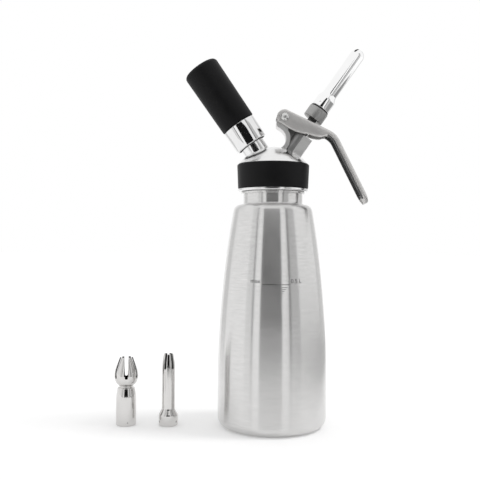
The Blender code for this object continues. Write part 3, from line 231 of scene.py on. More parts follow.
def rounded_edges(obj, width, segments=2):
    """Gives the sharp edges of a finished piece a small round, in millimetres."""
    bevel = obj.modifiers.new("round", "BEVEL")
    bevel.width = width * MM
    bevel.segments = segments
    bevel.limit_method = "ANGLE"
    bevel.angle_limit = ROUND_ABOVE
    settle(obj)


def mark_painted_shade(obj, frame_matrix, in_shade):
    """Marks a piece's hollow faces in its own attribute, where a darker tone paints the shade."""
    inverse = frame_matrix.inverted()
    turn = inverse.to_3x3()
    marks = obj.data.attributes.new("hollow", "FLOAT", "FACE")
    for face, mark in zip(obj.data.polygons, marks.data):
        mark.value = float(in_shade(inverse @ face.center / MM, turn @ face.normal))


def dress(obj, body, slot, material, *nodes):
    """Gives a piece its material and its body, and hides the CAD nodes that it stands for. Its slot is not
    used.
    """
    obj.data.materials.clear()
    obj.data.materials.append(material)
    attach(obj, body)
    if nodes:
        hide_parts(*nodes)


# Materials


def node_group(name, inputs, outputs):
    """A shader node group with its sockets. Returns it with its two end nodes."""
    group = bpy.data.node_groups.new(name, "ShaderNodeTree")
    for label, kind, value in inputs:
        socket = group.interface.new_socket(label, in_out="INPUT", socket_type=kind)
        socket.default_value = value
    for label, kind in outputs:
        group.interface.new_socket(label, in_out="OUTPUT", socket_type=kind)
    return group, group.nodes.new("NodeGroupInput"), group.nodes.new("NodeGroupOutput")


def math_node(tree, operation, first, second):
    """The output of a sum on two values or sockets."""
    node = tree.nodes.new("ShaderNodeMath")
    node.operation = operation
    for socket, value in zip(node.inputs, (first, second)):
        if isinstance(value, (int, float)):
            socket.default_value = value
        else:
            tree.links.new(value, socket)
    return node.outputs[0]


def add_noise(group, vector, scale, detail, socket):
    """A noise texture inside a group, put out through one of its sockets."""
    noise = group.nodes.new("ShaderNodeTexNoise")
    noise.inputs["Scale"].default_value = scale
    noise.inputs["Detail"].default_value = detail
    group.links.new(vector, noise.inputs["Vector"])
    group.links.new(noise.outputs["Fac"], socket)
    return noise


def make_streaks():
    """Fine parallel scratches: noise stretched along two axes of the given coordinates."""
    group, given, out = node_group(
        "fine_streaks",
        [("Vector", "NodeSocketVector", (0, 0, 0)), ("Stretch", "NodeSocketVector", (40, 40, 4000))],
        [("Streak", "NodeSocketFloat"), ("Cloud", "NodeSocketFloat")],
    )
    stretch = group.nodes.new("ShaderNodeVectorMath")
    stretch.operation = "MULTIPLY"
    group.links.new(given.outputs["Vector"], stretch.inputs[0])
    group.links.new(given.outputs["Stretch"], stretch.inputs[1])
    streak = add_noise(group, stretch.outputs[0], 1, 3, out.inputs["Streak"])
    streak.inputs["Roughness"].default_value = 0.6
    add_noise(group, given.outputs["Vector"], 60, 2, out.inputs["Cloud"])
    return group


def make_grain():
    """A cast or moulded surface's fine grain, with larger soft clouds."""
    group, given, out = node_group(
        "surface_grain",
        [("Vector", "NodeSocketVector", (0, 0, 0)), ("Size", "NodeSocketFloat", 1500)],
        [("Grain", "NodeSocketFloat"), ("Cloud", "NodeSocketFloat")],
    )
    grain = add_noise(group, given.outputs["Vector"], 1, 4, out.inputs["Grain"])
    group.links.new(given.outputs["Size"], grain.inputs["Scale"])
    add_noise(group, given.outputs["Vector"], 90, 2, out.inputs["Cloud"])
    return group


STREAKS = make_streaks()
GRAIN = make_grain()

# Depths of relief, in metres
FINE_RELIEF = 0.00001
MOULD_RELIEF = 0.00003


def surface(name, colour, metallic, roughness):
    """A Principled material with Object coordinates. Returns it with its tree, shader and coordinates."""
    material = bpy.data.materials.new(name)
    material.use_nodes = True
    tree = material.node_tree
    shader = tree.nodes["Principled BSDF"]
    shader.inputs["Base Color"].default_value = (*colour, 1)
    shader.inputs["Metallic"].default_value = metallic
    shader.inputs["Roughness"].default_value = roughness
    coordinates = tree.nodes.new("ShaderNodeTexCoord").outputs["Object"]
    return material, tree, shader, coordinates


def ranged(tree, value, low, high):
    """Reads a noise value, which keeps near its middle, between two new limits."""
    node = tree.nodes.new("ShaderNodeMapRange")
    node.inputs["From Min"].default_value = 0.3
    node.inputs["From Max"].default_value = 0.7
    node.inputs["To Min"].default_value = low
    node.inputs["To Max"].default_value = high
    tree.links.new(value, node.inputs["Value"])
    return node.outputs["Result"]


def tinted(tree, shader, noise, colour, dark_share, light_share):
    """Varies the base colour with a noise, between a darker and a lighter tone of it."""
    dark = tuple(c * dark_share for c in colour)
    light = tuple(min(1, c * light_share) for c in colour)
    mix = tree.nodes.new("ShaderNodeMix")
    mix.data_type = "RGBA"
    mix.inputs["A"].default_value = (*dark, 1)
    mix.inputs["B"].default_value = (*light, 1)
    tree.links.new(ranged(tree, noise, 0, 1), mix.inputs["Factor"])
    tree.links.new(mix.outputs["Result"], shader.inputs["Base Color"])


def glossed(tree, shader, noise, roughness, spread):
    """Varies the roughness with a noise, by a share to either side."""
    gloss = ranged(tree, noise, roughness * (1 - spread), roughness * (1 + spread))
    tree.links.new(gloss, shader.inputs["Roughness"])


def bumped(tree, shader, height, strength, distance):
    """Raises a fine relief on the surface."""
    bump = tree.nodes.new("ShaderNodeBump")
    bump.inputs["Strength"].default_value = strength
    bump.inputs["Distance"].default_value = distance
    tree.links.new(height, bump.inputs["Height"])
    tree.links.new(bump.outputs["Normal"], shader.inputs["Normal"])


def grouped(tree, group, coordinates, label, value):
    """Places a node group in a material, with one of its values set."""
    node = tree.nodes.new("ShaderNodeGroup")
    node.node_tree = group
    tree.links.new(coordinates, node.inputs["Vector"])
    node.inputs[label].default_value = value
    return node


def brushed_steel(name, colour, metallic, roughness, stretch, anisotropy):
    """Steel brushed round its axis: fine rings in tone, gloss and height."""
    material, tree, shader, coordinates = surface(name, colour, metallic, roughness)
    lines = grouped(tree, STREAKS, coordinates, "Stretch", stretch)
    tinted(tree, shader, lines.outputs["Streak"], colour, 0.93, 1.06)
    glossed(tree, shader, lines.outputs["Cloud"], roughness, 0.06)
    bumped(tree, shader, lines.outputs["Streak"], 0.05, FINE_RELIEF)
    shader.inputs["Anisotropic"].default_value = anisotropy
    shader.inputs["Anisotropic Rotation"].default_value = 0.25
    tangent = tree.nodes.new("ShaderNodeTangent")
    tangent.direction_type = "RADIAL"
    tangent.axis = "Z"
    tree.links.new(tangent.outputs["Tangent"], shader.inputs["Tangent"])
    return material


def paint_shade(tree, shader, tone):
    """Paints shade: mixes a darker tone into the base colour where the mesh marks a hollow."""
    marked = tree.nodes.new("ShaderNodeAttribute")
    marked.attribute_name = "hollow"
    mix = tree.nodes.new("ShaderNodeMix")
    mix.data_type = "RGBA"
    mix.inputs["B"].default_value = (*tone, 1)
    tree.links.new(shader.inputs["Base Color"].links[0].from_socket, mix.inputs["A"])
    tree.links.new(marked.outputs["Fac"], mix.inputs["Factor"])
    tree.links.new(mix.outputs["Result"], shader.inputs["Base Color"])


def polished_steel(name, colour, roughness, shade_tone=None):
    """Polished steel with faint handling haze, and painted shade in its marked hollows when a shade tone is
    given.
    """
    material, tree, shader, coordinates = surface(name, colour, 1.0, roughness)
    noise = grouped(tree, GRAIN, coordinates, "Size", 700)
    tinted(tree, shader, noise.outputs["Cloud"], colour, 0.97, 1)
    glossed(tree, shader, noise.outputs["Cloud"], roughness, 0.3)
    if shade_tone:
        paint_shade(tree, shader, shade_tone)
    return material


def cast_steel(name, colour, metallic, roughness, shade_tone=None):
    """Satin cast steel: fine grain, soft clouds and faint slanting scratches, and painted shade in its marked
    hollows when a shade tone is given.
    """
    material, tree, shader, coordinates = surface(name, colour, metallic, roughness)
    noise = grouped(tree, GRAIN, coordinates, "Size", 2500)
    turn = tree.nodes.new("ShaderNodeMapping")
    turn.inputs["Rotation"].default_value = (0, math.radians(35), 0)
    tree.links.new(coordinates, turn.inputs["Vector"])
    lines = grouped(tree, STREAKS, turn.outputs["Vector"], "Stretch", (1500, 300, 90))
    both = math_node(tree, "ADD", noise.outputs["Grain"], lines.outputs["Streak"])
    half = math_node(tree, "MULTIPLY", both, 0.5)
    tinted(tree, shader, half, colour, 0.93, 1.06)
    if shade_tone:
        paint_shade(tree, shader, shade_tone)
    glossed(tree, shader, noise.outputs["Cloud"], roughness, 0.1)
    bumped(tree, shader, half, 0.05, FINE_RELIEF)
    return material


def moulded(name, colour, roughness, size, strength, specular=0.5):
    """Moulded silicone, rubber or plastic with a fine matt grain."""
    material, tree, shader, coordinates = surface(name, colour, 0.0, roughness)
    shader.inputs["Specular IOR Level"].default_value = specular
    noise = grouped(tree, GRAIN, coordinates, "Size", size)
    tinted(tree, shader, noise.outputs["Cloud"], colour, 0.8, 1.25)
    glossed(tree, shader, noise.outputs["Cloud"], roughness, 0.1)
    bumped(tree, shader, noise.outputs["Grain"], strength, MOULD_RELIEF)
    return material


BOTTLE_STEEL = brushed_steel("bottle_steel", (0.70, 0.695, 0.69), 0.93, 0.25, (120, 120, 1800), 0.97)
CHARGER_STEEL = brushed_steel("charger_steel", (0.62, 0.62, 0.61), 1.0, 0.32, (60, 60, 1500), 0.3)
POLISHED = polished_steel("polished_steel", (0.80, 0.80, 0.80), 0.07)
# cup_steel's last tone, near black, is painted shade in the cup's mouth and the bore behind it.
CUP_STEEL = polished_steel("cup_steel", (0.80, 0.80, 0.80), 0.07, (0.01, 0.01, 0.01))
HEAD_STEEL = polished_steel("head_steel", (0.83, 0.83, 0.83), 0.2)
# The last tone of the two tip steels below is painted shade inside the tips' bores and, weaker, on their slot
# walls.
TIP_STEEL = polished_steel("tip_steel", (0.68, 0.67, 0.66), 0.12, (0.015, 0.015, 0.015))
BRIGHT_STEEL = polished_steel("bright_steel", (0.94, 0.94, 0.94), 0.07, (0.02, 0.02, 0.02))
RIVET_STEEL = polished_steel("rivet_steel", (0.64, 0.64, 0.63), 0.22)
# cast_steel's last tone is painted shade inside the lever's channel.
CAST = cast_steel("cast_steel", (0.64, 0.63, 0.62), 0.9, 0.5, (0.13, 0.13, 0.13))
# bracket_steel's last tone is painted shade on the pockets' floors and the tube's side in them.
BRACKET = cast_steel("bracket_steel", (0.8, 0.795, 0.79), 0.85, 0.4, (0.3, 0.3, 0.3))
# Near-black steel for the valve stem and its collar: painted shade in the gap between the housing and the
# adapter.
GAP_SHADE_STEEL = cast_steel("gap_shade_steel", (0.08, 0.08, 0.08), 1.0, 0.45)
DULL = cast_steel("dull_steel", (0.40, 0.40, 0.395), 1.0, 0.42)
SILICONE = moulded("black_silicone", (0.005, 0.005, 0.0055), 0.5, 3500, 0.15, 0.15)
RUBBER = moulded("black_rubber", (0.02, 0.02, 0.02), 0.5, 2500, 0.15)
PLASTIC = moulded("white_plastic", (0.72, 0.71, 0.67), 0.4, 2000, 0.1)
ETCH = moulded("etched_mark", (0.05, 0.05, 0.05), 0.55, 4000, 0.1)


# Bottle

BOTTLE_RADIUS = 40
FOOT_HEIGHT = 36
SIDE_ARC = 690
WALL = 1.2
BASE_WALL = 1.8
BASE_ROUND = 7
SHOULDER_START = 158.2
SHOULDER_ROUND = 5.4
NECK_RADIUS = 21.85
NECK_FILLET = 1.6
HEAD_PITCH = 4.0
HEAD_THREAD_START = 176.2
HEAD_THREAD_HEIGHT = 0.75


def bottle_radius(height):
    """The bottle's outer radius: straight at the foot, then one long arc."""
    return BOTTLE_RADIUS - max(0, height - FOOT_HEIGHT) ** 2 / (2 * SIDE_ARC)


def bottle_side(inset, corner_steps, body_steps, round_steps):
    """The bottle's side from its base corner to its neck, moved in by inset."""
    base = BASE_WALL if inset else 0
    corner = BASE_ROUND - inset
    side = arc((BOTTLE_RADIUS - BASE_ROUND, base + corner), corner, -QUARTER_TURN, 0, corner_steps)
    taper = SHOULDER_START - FOOT_HEIGHT
    for step in range(body_steps):
        height = FOOT_HEIGHT + taper * step / body_steps
        side.append((bottle_radius(height) - inset, height))
    lean = math.atan(taper / SIDE_ARC)
    inward = SHOULDER_ROUND * math.cos(lean)
    centre = (bottle_radius(SHOULDER_START) - inward, SHOULDER_START - SHOULDER_ROUND * math.sin(lean))
    side += arc(centre, SHOULDER_ROUND - inset, lean, QUARTER_TURN, round_steps)
    fillet_centre = (NECK_RADIUS + NECK_FILLET, centre[1] + SHOULDER_ROUND + NECK_FILLET)
    side += arc(fillet_centre, NECK_FILLET + inset, -QUARTER_TURN, -HALF_TURN, round_steps)
    return side


def make_bottle():
    """The hollow bottle with its collar, its rim and its thread."""
    collar = [(NECK_RADIUS, 170.8), (23.35, 170.8), (23.5, 171.0)]
    collar += [(23.5, 171.9), (23.35, 172.1), (NECK_RADIUS, 172.1)]
    bore = NECK_RADIUS - WALL
    rim = [(NECK_RADIUS, 186.6), (NECK_RADIUS - 0.4, 187), (bore + 0.4, 187), (bore, 186.6)]
    outline = [(0, 0)] + bottle_side(0, 14, 30, 12) + softened(collar, 0.2)[1:] + rim
    outline += bottle_side(WALL, 8, 16, 8)[::-1] + [(0, BASE_WALL)]
    body = spun("bottle_body", outline, WIDE_STEPS)
    dress(body, "bottle", "brushed_steel", BOTTLE_STEEL, "bottle")
    ridge = (HEAD_THREAD_HEIGHT, HEAD_THREAD_START, HEAD_PITCH)
    screw = thread("bottle_thread", NECK_RADIUS, *ridge, turns=2.3, width=1.9)
    dress(screw, "bottle", "brushed_steel", BOTTLE_STEEL)


# Head

DOME_CENTRE = 173.2
DOME_RADIUS = 32.3
CAVITY_RADIUS = 28.7
CAVITY_MOUTH = 17.2
SKIRT_BORE = 22.9
SKIRT_TOP = 192.7

# Along the side axes: where the bracket and the port begin, and their bores
SIDE_START = 17.5
DRILL_END = 40
VALVE_POCKET = 6.7
VALVE_BORE = 3.5
GAS_POCKET = 5.8
GAS_BORE = 2.6
PORT_THREAD = 8.5
HOLDER_PITCH = 2.5


def dome_arc(radius, start, end, steps):
    """An arc about the dome's centre."""
    return arc((0, DOME_CENTRE), radius, start, end, steps)


def stepped_drill(pocket, start, bore):
    """A drill's outline: a wide pocket inside the shell, then a narrow bore through it."""
    outline = [(0, start), (pocket, start), (pocket, SIDE_START)]
    return outline + [(bore, SIDE_START), (bore, DRILL_END), (0, DRILL_END)]


def make_dome():
    """The polished shell of the head: lip, skirt, dome and cavity."""
    dome_start = math.asin((SKIRT_TOP - DOME_CENTRE) / DOME_RADIUS)
    cavity_start = math.acos(CAVITY_MOUTH / CAVITY_RADIUS)
    outline = [(SKIRT_BORE, 172.4), (25.4, 172.4), (26, 173), (26, 174.3), (24, 174.3), (24, SKIRT_TOP)]
    outline += dome_arc(DOME_RADIUS, dome_start, QUARTER_TURN, 40)[:-1]
    outline += [(0, DOME_CENTRE + DOME_RADIUS), (0, DOME_CENTRE + CAVITY_RADIUS)]
    outline += dome_arc(CAVITY_RADIUS, QUARTER_TURN, cavity_start, 16)[1:]
    outline += [(CAVITY_MOUTH, 189.6), (SKIRT_BORE, 189.6)]
    dome = spun("head_dome", softened(outline, 0.25), WIDE_STEPS)
    valve_cutter = spun("cutter", stepped_drill(VALVE_POCKET, 10, VALVE_BORE), NARROW_STEPS, VALVE_FRAME)
    gas_cutter = spun("cutter", stepped_drill(GAS_POCKET, 12, GAS_BORE), NARROW_STEPS, CHARGER_FRAME)
    cut(dome, [valve_cutter, gas_cutter])
    dress(dome, "head", "polished_steel", HEAD_STEEL, "head")
    ridge = (-HEAD_THREAD_HEIGHT, HEAD_THREAD_START + HEAD_PITCH / 2, HEAD_PITCH)
    screw = thread("head_thread", SKIRT_BORE, *ridge, turns=2.2, width=1.5)
    dress(screw, "head", "polished_steel", HEAD_STEEL)


def make_port():
    """The port that the charger holder screws onto, with its thread and its bore."""
    outline = [(GAS_BORE, SIDE_START), (9.15, SIDE_START), (9.15, 28.6), (PORT_THREAD, 29.2)]
    outline += [(PORT_THREAD, 35), (7.9, 35.77), (4.9, 35.77), (4.6, 35.4), (4.6, 21.77), (GAS_BORE, 21.77)]
    port = spun("charger_port", softened(outline, 0.2), MEDIUM_STEPS, CHARGER_FRAME)
    dress(port, "head", "polished_steel", HEAD_STEEL)
    screw = thread("port_thread", PORT_THREAD, 0.62, 30.4, HOLDER_PITCH, 1.5, 1.5, CHARGER_FRAME)
    dress(screw, "head", "polished_steel", HEAD_STEEL)


# Lever bracket, with distances across and along the valve's axis
FLANGE_CENTRE = (-14.1, 22.6)
FLANGE_RADIUS = 7.9
FLANGE_THICKNESS = 3.0
LUG_RADIUS = 3.1
HOUSING_TOP = 36.5
TUBE_RADIUS = 5.6
POCKET_LEFT = -10.5
POCKET_RIGHT = 1.7
POCKET_FLOOR = 2.5
BRACKET_HALF_WIDTH = 6.5
PIN_HOLE = 1.8


def bracket_outline():
    """The bracket's outline beside the valve axis: curved flange, lip, pivot lug, housing and foot."""
    flange = arc(FLANGE_CENTRE, FLANGE_RADIUS, math.radians(-44), QUARTER_TURN, 28)
    lug = arc(PIVOT, LUG_RADIUS, math.radians(200), math.radians(40), 20)
    outline = flange + [(-18.7, 30.5), (-21.0, 34.0)] + lug
    return outline + [(-5.6, HOUSING_TOP), (8.9, HOUSING_TOP), (8.9, SIDE_START), (-8.0, 15.5)]


def pocket_outline():
    """The hollow between the flange and the housing's front band."""
    radius = FLANGE_RADIUS + FLANGE_THICKNESS
    end = math.acos((POCKET_LEFT - FLANGE_CENTRE[0]) / radius)
    flange = arc(FLANGE_CENTRE, radius, math.radians(-60), end, 24)
    return flange + [(POCKET_LEFT, 41), (POCKET_RIGHT, 41), (POCKET_RIGHT, flange[0][1])]


def rod(radius, half_length):
    """A plain rod's outline, for drilling."""
    return [(0, -half_length), (radius, -half_length), (radius, half_length), (0, half_length)]


def make_bracket():
    """The cast bracket that carries the valve and the lever's pivot."""
    bracket = extruded("lever_bracket", bracket_outline(), BRACKET_HALF_WIDTH, VALVE_FRAME)
    half = 3.0
    pockets = []
    for side in (-1, 1):
        beside = shifted(VALVE_FRAME, 0, side * (POCKET_FLOOR + half), 0)
        pockets.append(extruded("cutter", pocket_outline(), half, beside))
    cut(bracket, pockets)
    tube = [(0, SIDE_START), (TUBE_RADIUS, SIDE_START), (TUBE_RADIUS, HOUSING_TOP), (0, HOUSING_TOP)]
    cut(bracket, [spun("cutter", tube, NARROW_STEPS, VALVE_FRAME)], "UNION")
    bore = [(0, 10), (VALVE_POCKET, 10), (VALVE_POCKET, SIDE_START), (VALVE_BORE, SIDE_START)]
    bore += [(VALVE_BORE, 29.4), (4.5, 29.4), (4.5, 31), (4.8, 31), (4.8, DRILL_END), (0, DRILL_END)]
    hole = spun("cutter", rod(PIN_HOLE, 9), HOLE_STEPS, turned(PIVOT_FRAME, QUARTER_TURN, "X"))
    cut(bracket, [spun("cutter", bore, NARROW_STEPS, VALVE_FRAME), hole])
    rounded_edges(bracket, 0.5, 3)
    mark_painted_shade(bracket, VALVE_FRAME, in_pocket)
    dress(bracket, "head", "polished_steel", BRACKET)


def in_pocket(centre, normal):
    """Where shade is painted on the bracket: the floors of the two pockets and the tube's side in them."""
    on_tube = abs(math.hypot(centre.x, centre.y) - TUBE_RADIUS) < 0.3 and centre.x < POCKET_RIGHT
    on_floor = abs(abs(centre.y) - POCKET_FLOOR) < 0.2 and abs(normal.y) > 0.9
    return on_tube or on_floor


def make_grip_ring():
    """The silicone ring round the skirt, a little wider at its top."""
    rounding = 0.9
    low = arc((25.05, 175.5), rounding, -QUARTER_TURN, 0, 8)
    high = arc((25.7, 191.5), rounding, 0, QUARTER_TURN, 8)
    ring = spun("grip_band", [(24.3, low[0][1])] + low + high + [(24.3, high[-1][1])], WIDE_STEPS)
    dress(ring, "head", "black_silicone", SILICONE, "grip_ring")


# Valve and adapter

STEM_BORE = 3.35
SPIGOT_RADIUS = 4.5
SPRING_START = 33.2
SPRING_END = 41.55
SPRING_RADIUS = 4
SPRING_TURNS = 5
WIRE_RADIUS = 0.45


def make_collar():
    """The collar on the stem that the lever presses."""
    outline = [(STEM_BORE, 42.3), (6.2, 42.3), (6.2, 43.5), (5.5, 44.2), (STEM_BORE, 44.2)]
    collar = spun("valve_collar", softened(outline, 0.25), NARROW_STEPS, VALVE_FRAME)
    # The collar's near-black steel is painted shade in the gap under the lever.
    dress(collar, "valve", "dull_steel", GAP_SHADE_STEEL, "stem_collar")


def make_adapter():
    """The round adapter that a tip screws onto, with its threaded spigot."""
    outline = [(STEM_BORE, 50.7), (7.3, 50.7), (7.65, 51.05), (7.65, 58.95), (7.3, 59.3)]
    outline += [(5.2, 59.3), (SPIGOT_RADIUS, 59.9), (SPIGOT_RADIUS, 65.6), (4.1, 66)]
    outline += [(2.2, 66), (2.2, 57.3), (STEM_BORE, 57.3)]
    adapter = spun("spigot_adapter", softened(outline, 0.15), MEDIUM_STEPS, VALVE_FRAME)
    dress(adapter, "valve", "dull_steel", DULL, "tip_adapter")
    screw = thread("spigot_thread", SPIGOT_RADIUS, 0.62, 60.9, 1.5, 2.8, 0.95, VALVE_FRAME)
    dress(screw, "valve", "dull_steel", DULL)


def make_spring():
    """The return spring: one wire wound round the stem."""
    wire = bpy.data.curves.new("return_spring", "CURVE")
    wire.dimensions = "3D"
    wire.bevel_depth = WIRE_RADIUS * MM
    wire.bevel_resolution = 3
    wire.use_fill_caps = True
    line = wire.splines.new("POLY")
    steps = SPRING_TURNS * 36
    line.points.add(steps)
    for number, point in enumerate(line.points):
        share = number / steps
        angle = math.tau * SPRING_TURNS * share
        height = SPRING_START + (SPRING_END - SPRING_START) * share
        local = Vector((SPRING_RADIUS * math.cos(angle), SPRING_RADIUS * math.sin(angle), height))
        point.co = (*(VALVE_FRAME @ (local * MM)), 1)
    mesh = mesh_of("spring_curve", wire)
    smooth(mesh)
    spring = linked("return_spring", mesh)
    dress(spring, "head", "polished_steel", POLISHED, "valve_spring")
    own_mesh(spring)


# Lever, with X along its top and Z up from its pivot

LEVER_WIDTH = 18
LEVER_TOP = 5.6
LEVER_WALL = 2.2
NOSE_RADIUS = 5.8
NOSE_DEPTH = 10.8
NOSE_CORNER = 1.5
LEAST_HOLLOW = 1.1
BEND = math.radians(38)
BEND_RADIUS = 16
BEND_CENTRE = (33.8, LEVER_TOP - BEND_RADIUS)
HANDLE_DEPTH = 4.6
HANDLE_WIDTH = 17
HANDLE_CORNER = 2.4
HANDLE_RUN = 41.5
SOLID_RUN = 43.1
END_DROP = 1.6
HOLLOW_END = 77

# Depth of the lever's side below its top, from the pivot to the bend, as shares
BELLY_DEPTH = 11.8
BELLY_PLACES = (0.0, 0.19, 0.33, 0.47, 0.63, 0.73, 0.83, 0.89, 0.95, 1.0)
BELLY_DEPTHS = (0.86, 0.99, 1.0, 0.90, 0.655, 0.60, 0.485, 0.375, 0.14, 0.0)


def channel(top, down, depth, width, web, corner):
    """One cross-section of the lever: a channel with soft edges, open on its underside."""
    half = width / 2
    inner = half - min(LEVER_WALL, half * 0.55)
    corner = min(corner, depth * 0.55, half * 0.3)
    rim = min(1.0, depth * 0.3)
    roll = 0.7
    ease = 0.3
    fillet = min(0.6, inner * 0.4)
    right = arc((half - corner, corner), corner, -QUARTER_TURN, 0, 5)
    right += [(half, depth - rim), (half - roll / 2, depth - roll / 2), (half - roll, depth)]
    right += [(inner + ease, depth), (inner, depth - ease), (inner, web + fillet)]
    right += [(inner - fillet * 0.3, web + fillet * 0.3), (inner - fillet, web)]
    outline = right + [(-across, along) for across, along in right[::-1]]
    return [Vector((top[0] + down[0] * along, across, top[1] + down[1] * along)) for across, along in outline]


def read_table(places, values, at):
    """Reads a smooth table at a place between its first and last."""
    for index in range(len(places) - 1):
        if at <= places[index + 1]:
            part = (at - places[index]) / (places[index + 1] - places[index])
            part = part * part * (3 - 2 * part) * 0.5 + part * 0.5
            return values[index] + (values[index + 1] - values[index]) * part
    return values[-1]


def lever_sections():
    """The lever's cross-sections: round nose, bellied middle and bend, then the handle's."""
    level = (0, -1)
    sections = []
    for step in range(10):
        share = math.cos(QUARTER_TURN * (step + 0.35) / 10)
        rise = NOSE_RADIUS * math.sqrt(1 - share**2)
        top = min(rise, LEVER_TOP)
        depth = top + min(rise, NOSE_DEPTH - LEVER_TOP)
        web = max(0.3, min(LEVER_WALL, depth - LEAST_HOLLOW))
        sections.append(channel((-NOSE_RADIUS * share, top), level, depth, LEVER_WIDTH, web, NOSE_CORNER))
    for step in range(41):
        share = step / 40
        belly = read_table(BELLY_PLACES, BELLY_DEPTHS, share)
        depth = HANDLE_DEPTH + (BELLY_DEPTH - HANDLE_DEPTH) * belly
        corner = NOSE_CORNER + (HANDLE_CORNER - NOSE_CORNER) * share**2
        top = (BEND_CENTRE[0] * share, LEVER_TOP)
        sections.append(channel(top, level, depth, LEVER_WIDTH, LEVER_WALL, corner))
    for step in range(1, 15):
        angle = BEND * step / 14
        down = (-math.sin(angle), -math.cos(angle))
        width = LEVER_WIDTH + (HANDLE_WIDTH - LEVER_WIDTH) * step / 14
        sections.append(channel(on_bend(angle), down, HANDLE_DEPTH, width, LEVER_WALL, HANDLE_CORNER))
    return sections + handle_sections()


def on_bend(angle):
    """The bend's top at an angle from its start."""
    return (BEND_CENTRE[0] + BEND_RADIUS * math.sin(angle), BEND_CENTRE[1] + BEND_RADIUS * math.cos(angle))


def handle_sections():
    """The straight handle, down to its solid round end."""
    start = on_bend(BEND)
    down = (-math.sin(BEND), -math.cos(BEND))
    along = (math.cos(BEND), -math.sin(BEND))
    solid = HANDLE_DEPTH - LEAST_HOLLOW
    runs = (14, 28, 38, HANDLE_RUN, SOLID_RUN - 0.5)
    stations = [(run, HANDLE_WIDTH, LEVER_WALL, 0) for run in runs]
    stations.append((SOLID_RUN + 0.5, HANDLE_WIDTH, solid, 0))
    for step in range(1, 19):
        share = math.sin(QUARTER_TURN * step / 18.4)
        width = HANDLE_WIDTH * math.sqrt(1 - share**2)
        drop = END_DROP * (1 - math.sqrt(1 - share**4))
        stations.append((HANDLE_RUN + HANDLE_WIDTH / 2 * share, width, solid - drop, drop))
    stations.sort()
    sections = []
    for run, width, web, drop in stations:
        top = [start[i] + along[i] * run + down[i] * drop for i in range(2)]
        if run < SOLID_RUN:
            web = LEVER_WALL
        sections.append(channel(top, down, HANDLE_DEPTH - drop, width, web, HANDLE_CORNER))
    return sections


def make_lever():
    """The cast lever, bridged through its cross-sections, with its pin hole and its slot for the stem."""
    bm = bmesh.new()
    loops = []
    for section in lever_sections():
        points = [bm.verts.new(point) for point in section]
        loops.append([bm.edges.new((a, b)) for a, b in zip(points, points[1:] + points[:1])])
    for near, far in zip(loops, loops[1:]):
        bmesh.ops.bridge_loops(bm, edges=near + far)
    bmesh.ops.holes_fill(bm, edges=loops[0] + loops[-1])
    lever = place("squeeze_lever", bm, LEVER_FRAME)
    hole = spun("cutter", rod(PIN_HOLE, 12), HOLE_STEPS, turned(LEVER_FRAME, QUARTER_TURN, "X"))
    slot_radius = 4.0
    slot_shift = 1.6
    slot = arc((slot_shift, 0), slot_radius, -QUARTER_TURN, QUARTER_TURN, 16)
    slot += arc((-slot_shift, 0), slot_radius, QUARTER_TURN, 3 * QUARTER_TURN, 16)
    slot_frame = turned(shifted(VALVE_FRAME, 0, 0, 49.8), QUARTER_TURN, "X")
    cut(lever, [hole, extruded("cutter", slot, 5.6, slot_frame)])
    mark_painted_shade(lever, LEVER_FRAME, in_channel)
    dress(lever, "lever", "satin_cast_steel", CAST, "lever")


def in_channel(centre, normal):
    """Where shade is painted on the lever: the channel's walls, its ceiling and, along the handle, its rims.
    """
    if centre.x > HOLLOW_END:
        return False
    if abs(centre.y) > 6.6:
        return handle_depth(centre) > HANDLE_DEPTH - 1.05
    return normal.z < -0.5 or centre.y * normal.y < 0 and abs(normal.y) > 0.6


def handle_depth(point):
    """How far a point of the bend or the handle lies below the handle's top. Zero before the bend."""
    across = point.x - BEND_CENTRE[0]
    rise = point.z - BEND_CENTRE[1]
    if across < 0:
        return 0
    if math.atan2(across, rise) < BEND:
        return BEND_RADIUS - math.hypot(across, rise)
    return BEND_RADIUS - across * math.sin(BEND) - rise * math.cos(BEND)


def make_pivot():
    """The pin through the lug, with a domed and dimpled head, and the cap on its far end."""
    cheek = 9.3
    head_radius = 3.0
    head_rise = 1.6
    cap_floor = 10.2
    sphere = (head_radius**2 + head_rise**2) / (2 * head_rise)
    centre = (0, cheek + head_rise - sphere)
    rise = math.asin(head_radius / sphere)
    dimple = math.asin(0.7 / sphere)
    dome = arc(centre, sphere, QUARTER_TURN - rise, QUARTER_TURN - dimple, 14)
    crown = arc(centre, sphere, QUARTER_TURN - rise, QUARTER_TURN, 16)[:-1] + [(0, cheek + head_rise)]
    hollow = [(0.5, cheek + 1.2), (0, cheek + 1.05)]
    pin_outline = [(0, -9.9), (1.5, -9.9), (1.5, cheek)] + dome + hollow
    pin = spun("pivot_rivet", pin_outline, NARROW_STEPS, turned(PIVOT_FRAME, QUARTER_TURN, "X"))
    dress(pin, "head", "polished_steel", RIVET_STEEL, "pivot_pin")
    cap_outline = [(PIN_HOLE, cheek)] + crown + [(0, cap_floor), (PIN_HOLE, cap_floor)]
    cap = spun("rivet_cap", cap_outline, NARROW_STEPS, turned(PIVOT_FRAME, -QUARTER_TURN, "X"))
    dress(cap, "head", "polished_steel", RIVET_STEEL, "pivot_cap")


# Tips

TIP_SOCKET = 5.5
DIMPLE_HEIGHT = 3.2
DIMPLES = 3
FITTED_FRAME = shifted(VALVE_FRAME, 0, 0, 60.3)
STAR_FRAME = turned(shifted(Matrix.Identity(4), -76.2, -2.5, 0), math.radians(8), "Z")
TULIP_FRAME = turned(shifted(Matrix.Identity(4), -107.3, -2.5, 0), math.radians(9), "Z")
BULB_START = 29.2
BULB_TOP = 49.7
BULB_NECK = 4.7
BULB_RADIUS = 8.75
STAR_TINES = 5


def slot_shape(bottom, top, low_width, high_width):
    """A slot's outline, with a round bottom and sides that may spread."""
    half = low_width / 2
    end = arc((0, bottom + half), half, HALF_TURN, math.tau, 10)
    return end + [(high_width / 2, top), (-high_width / 2, top)]


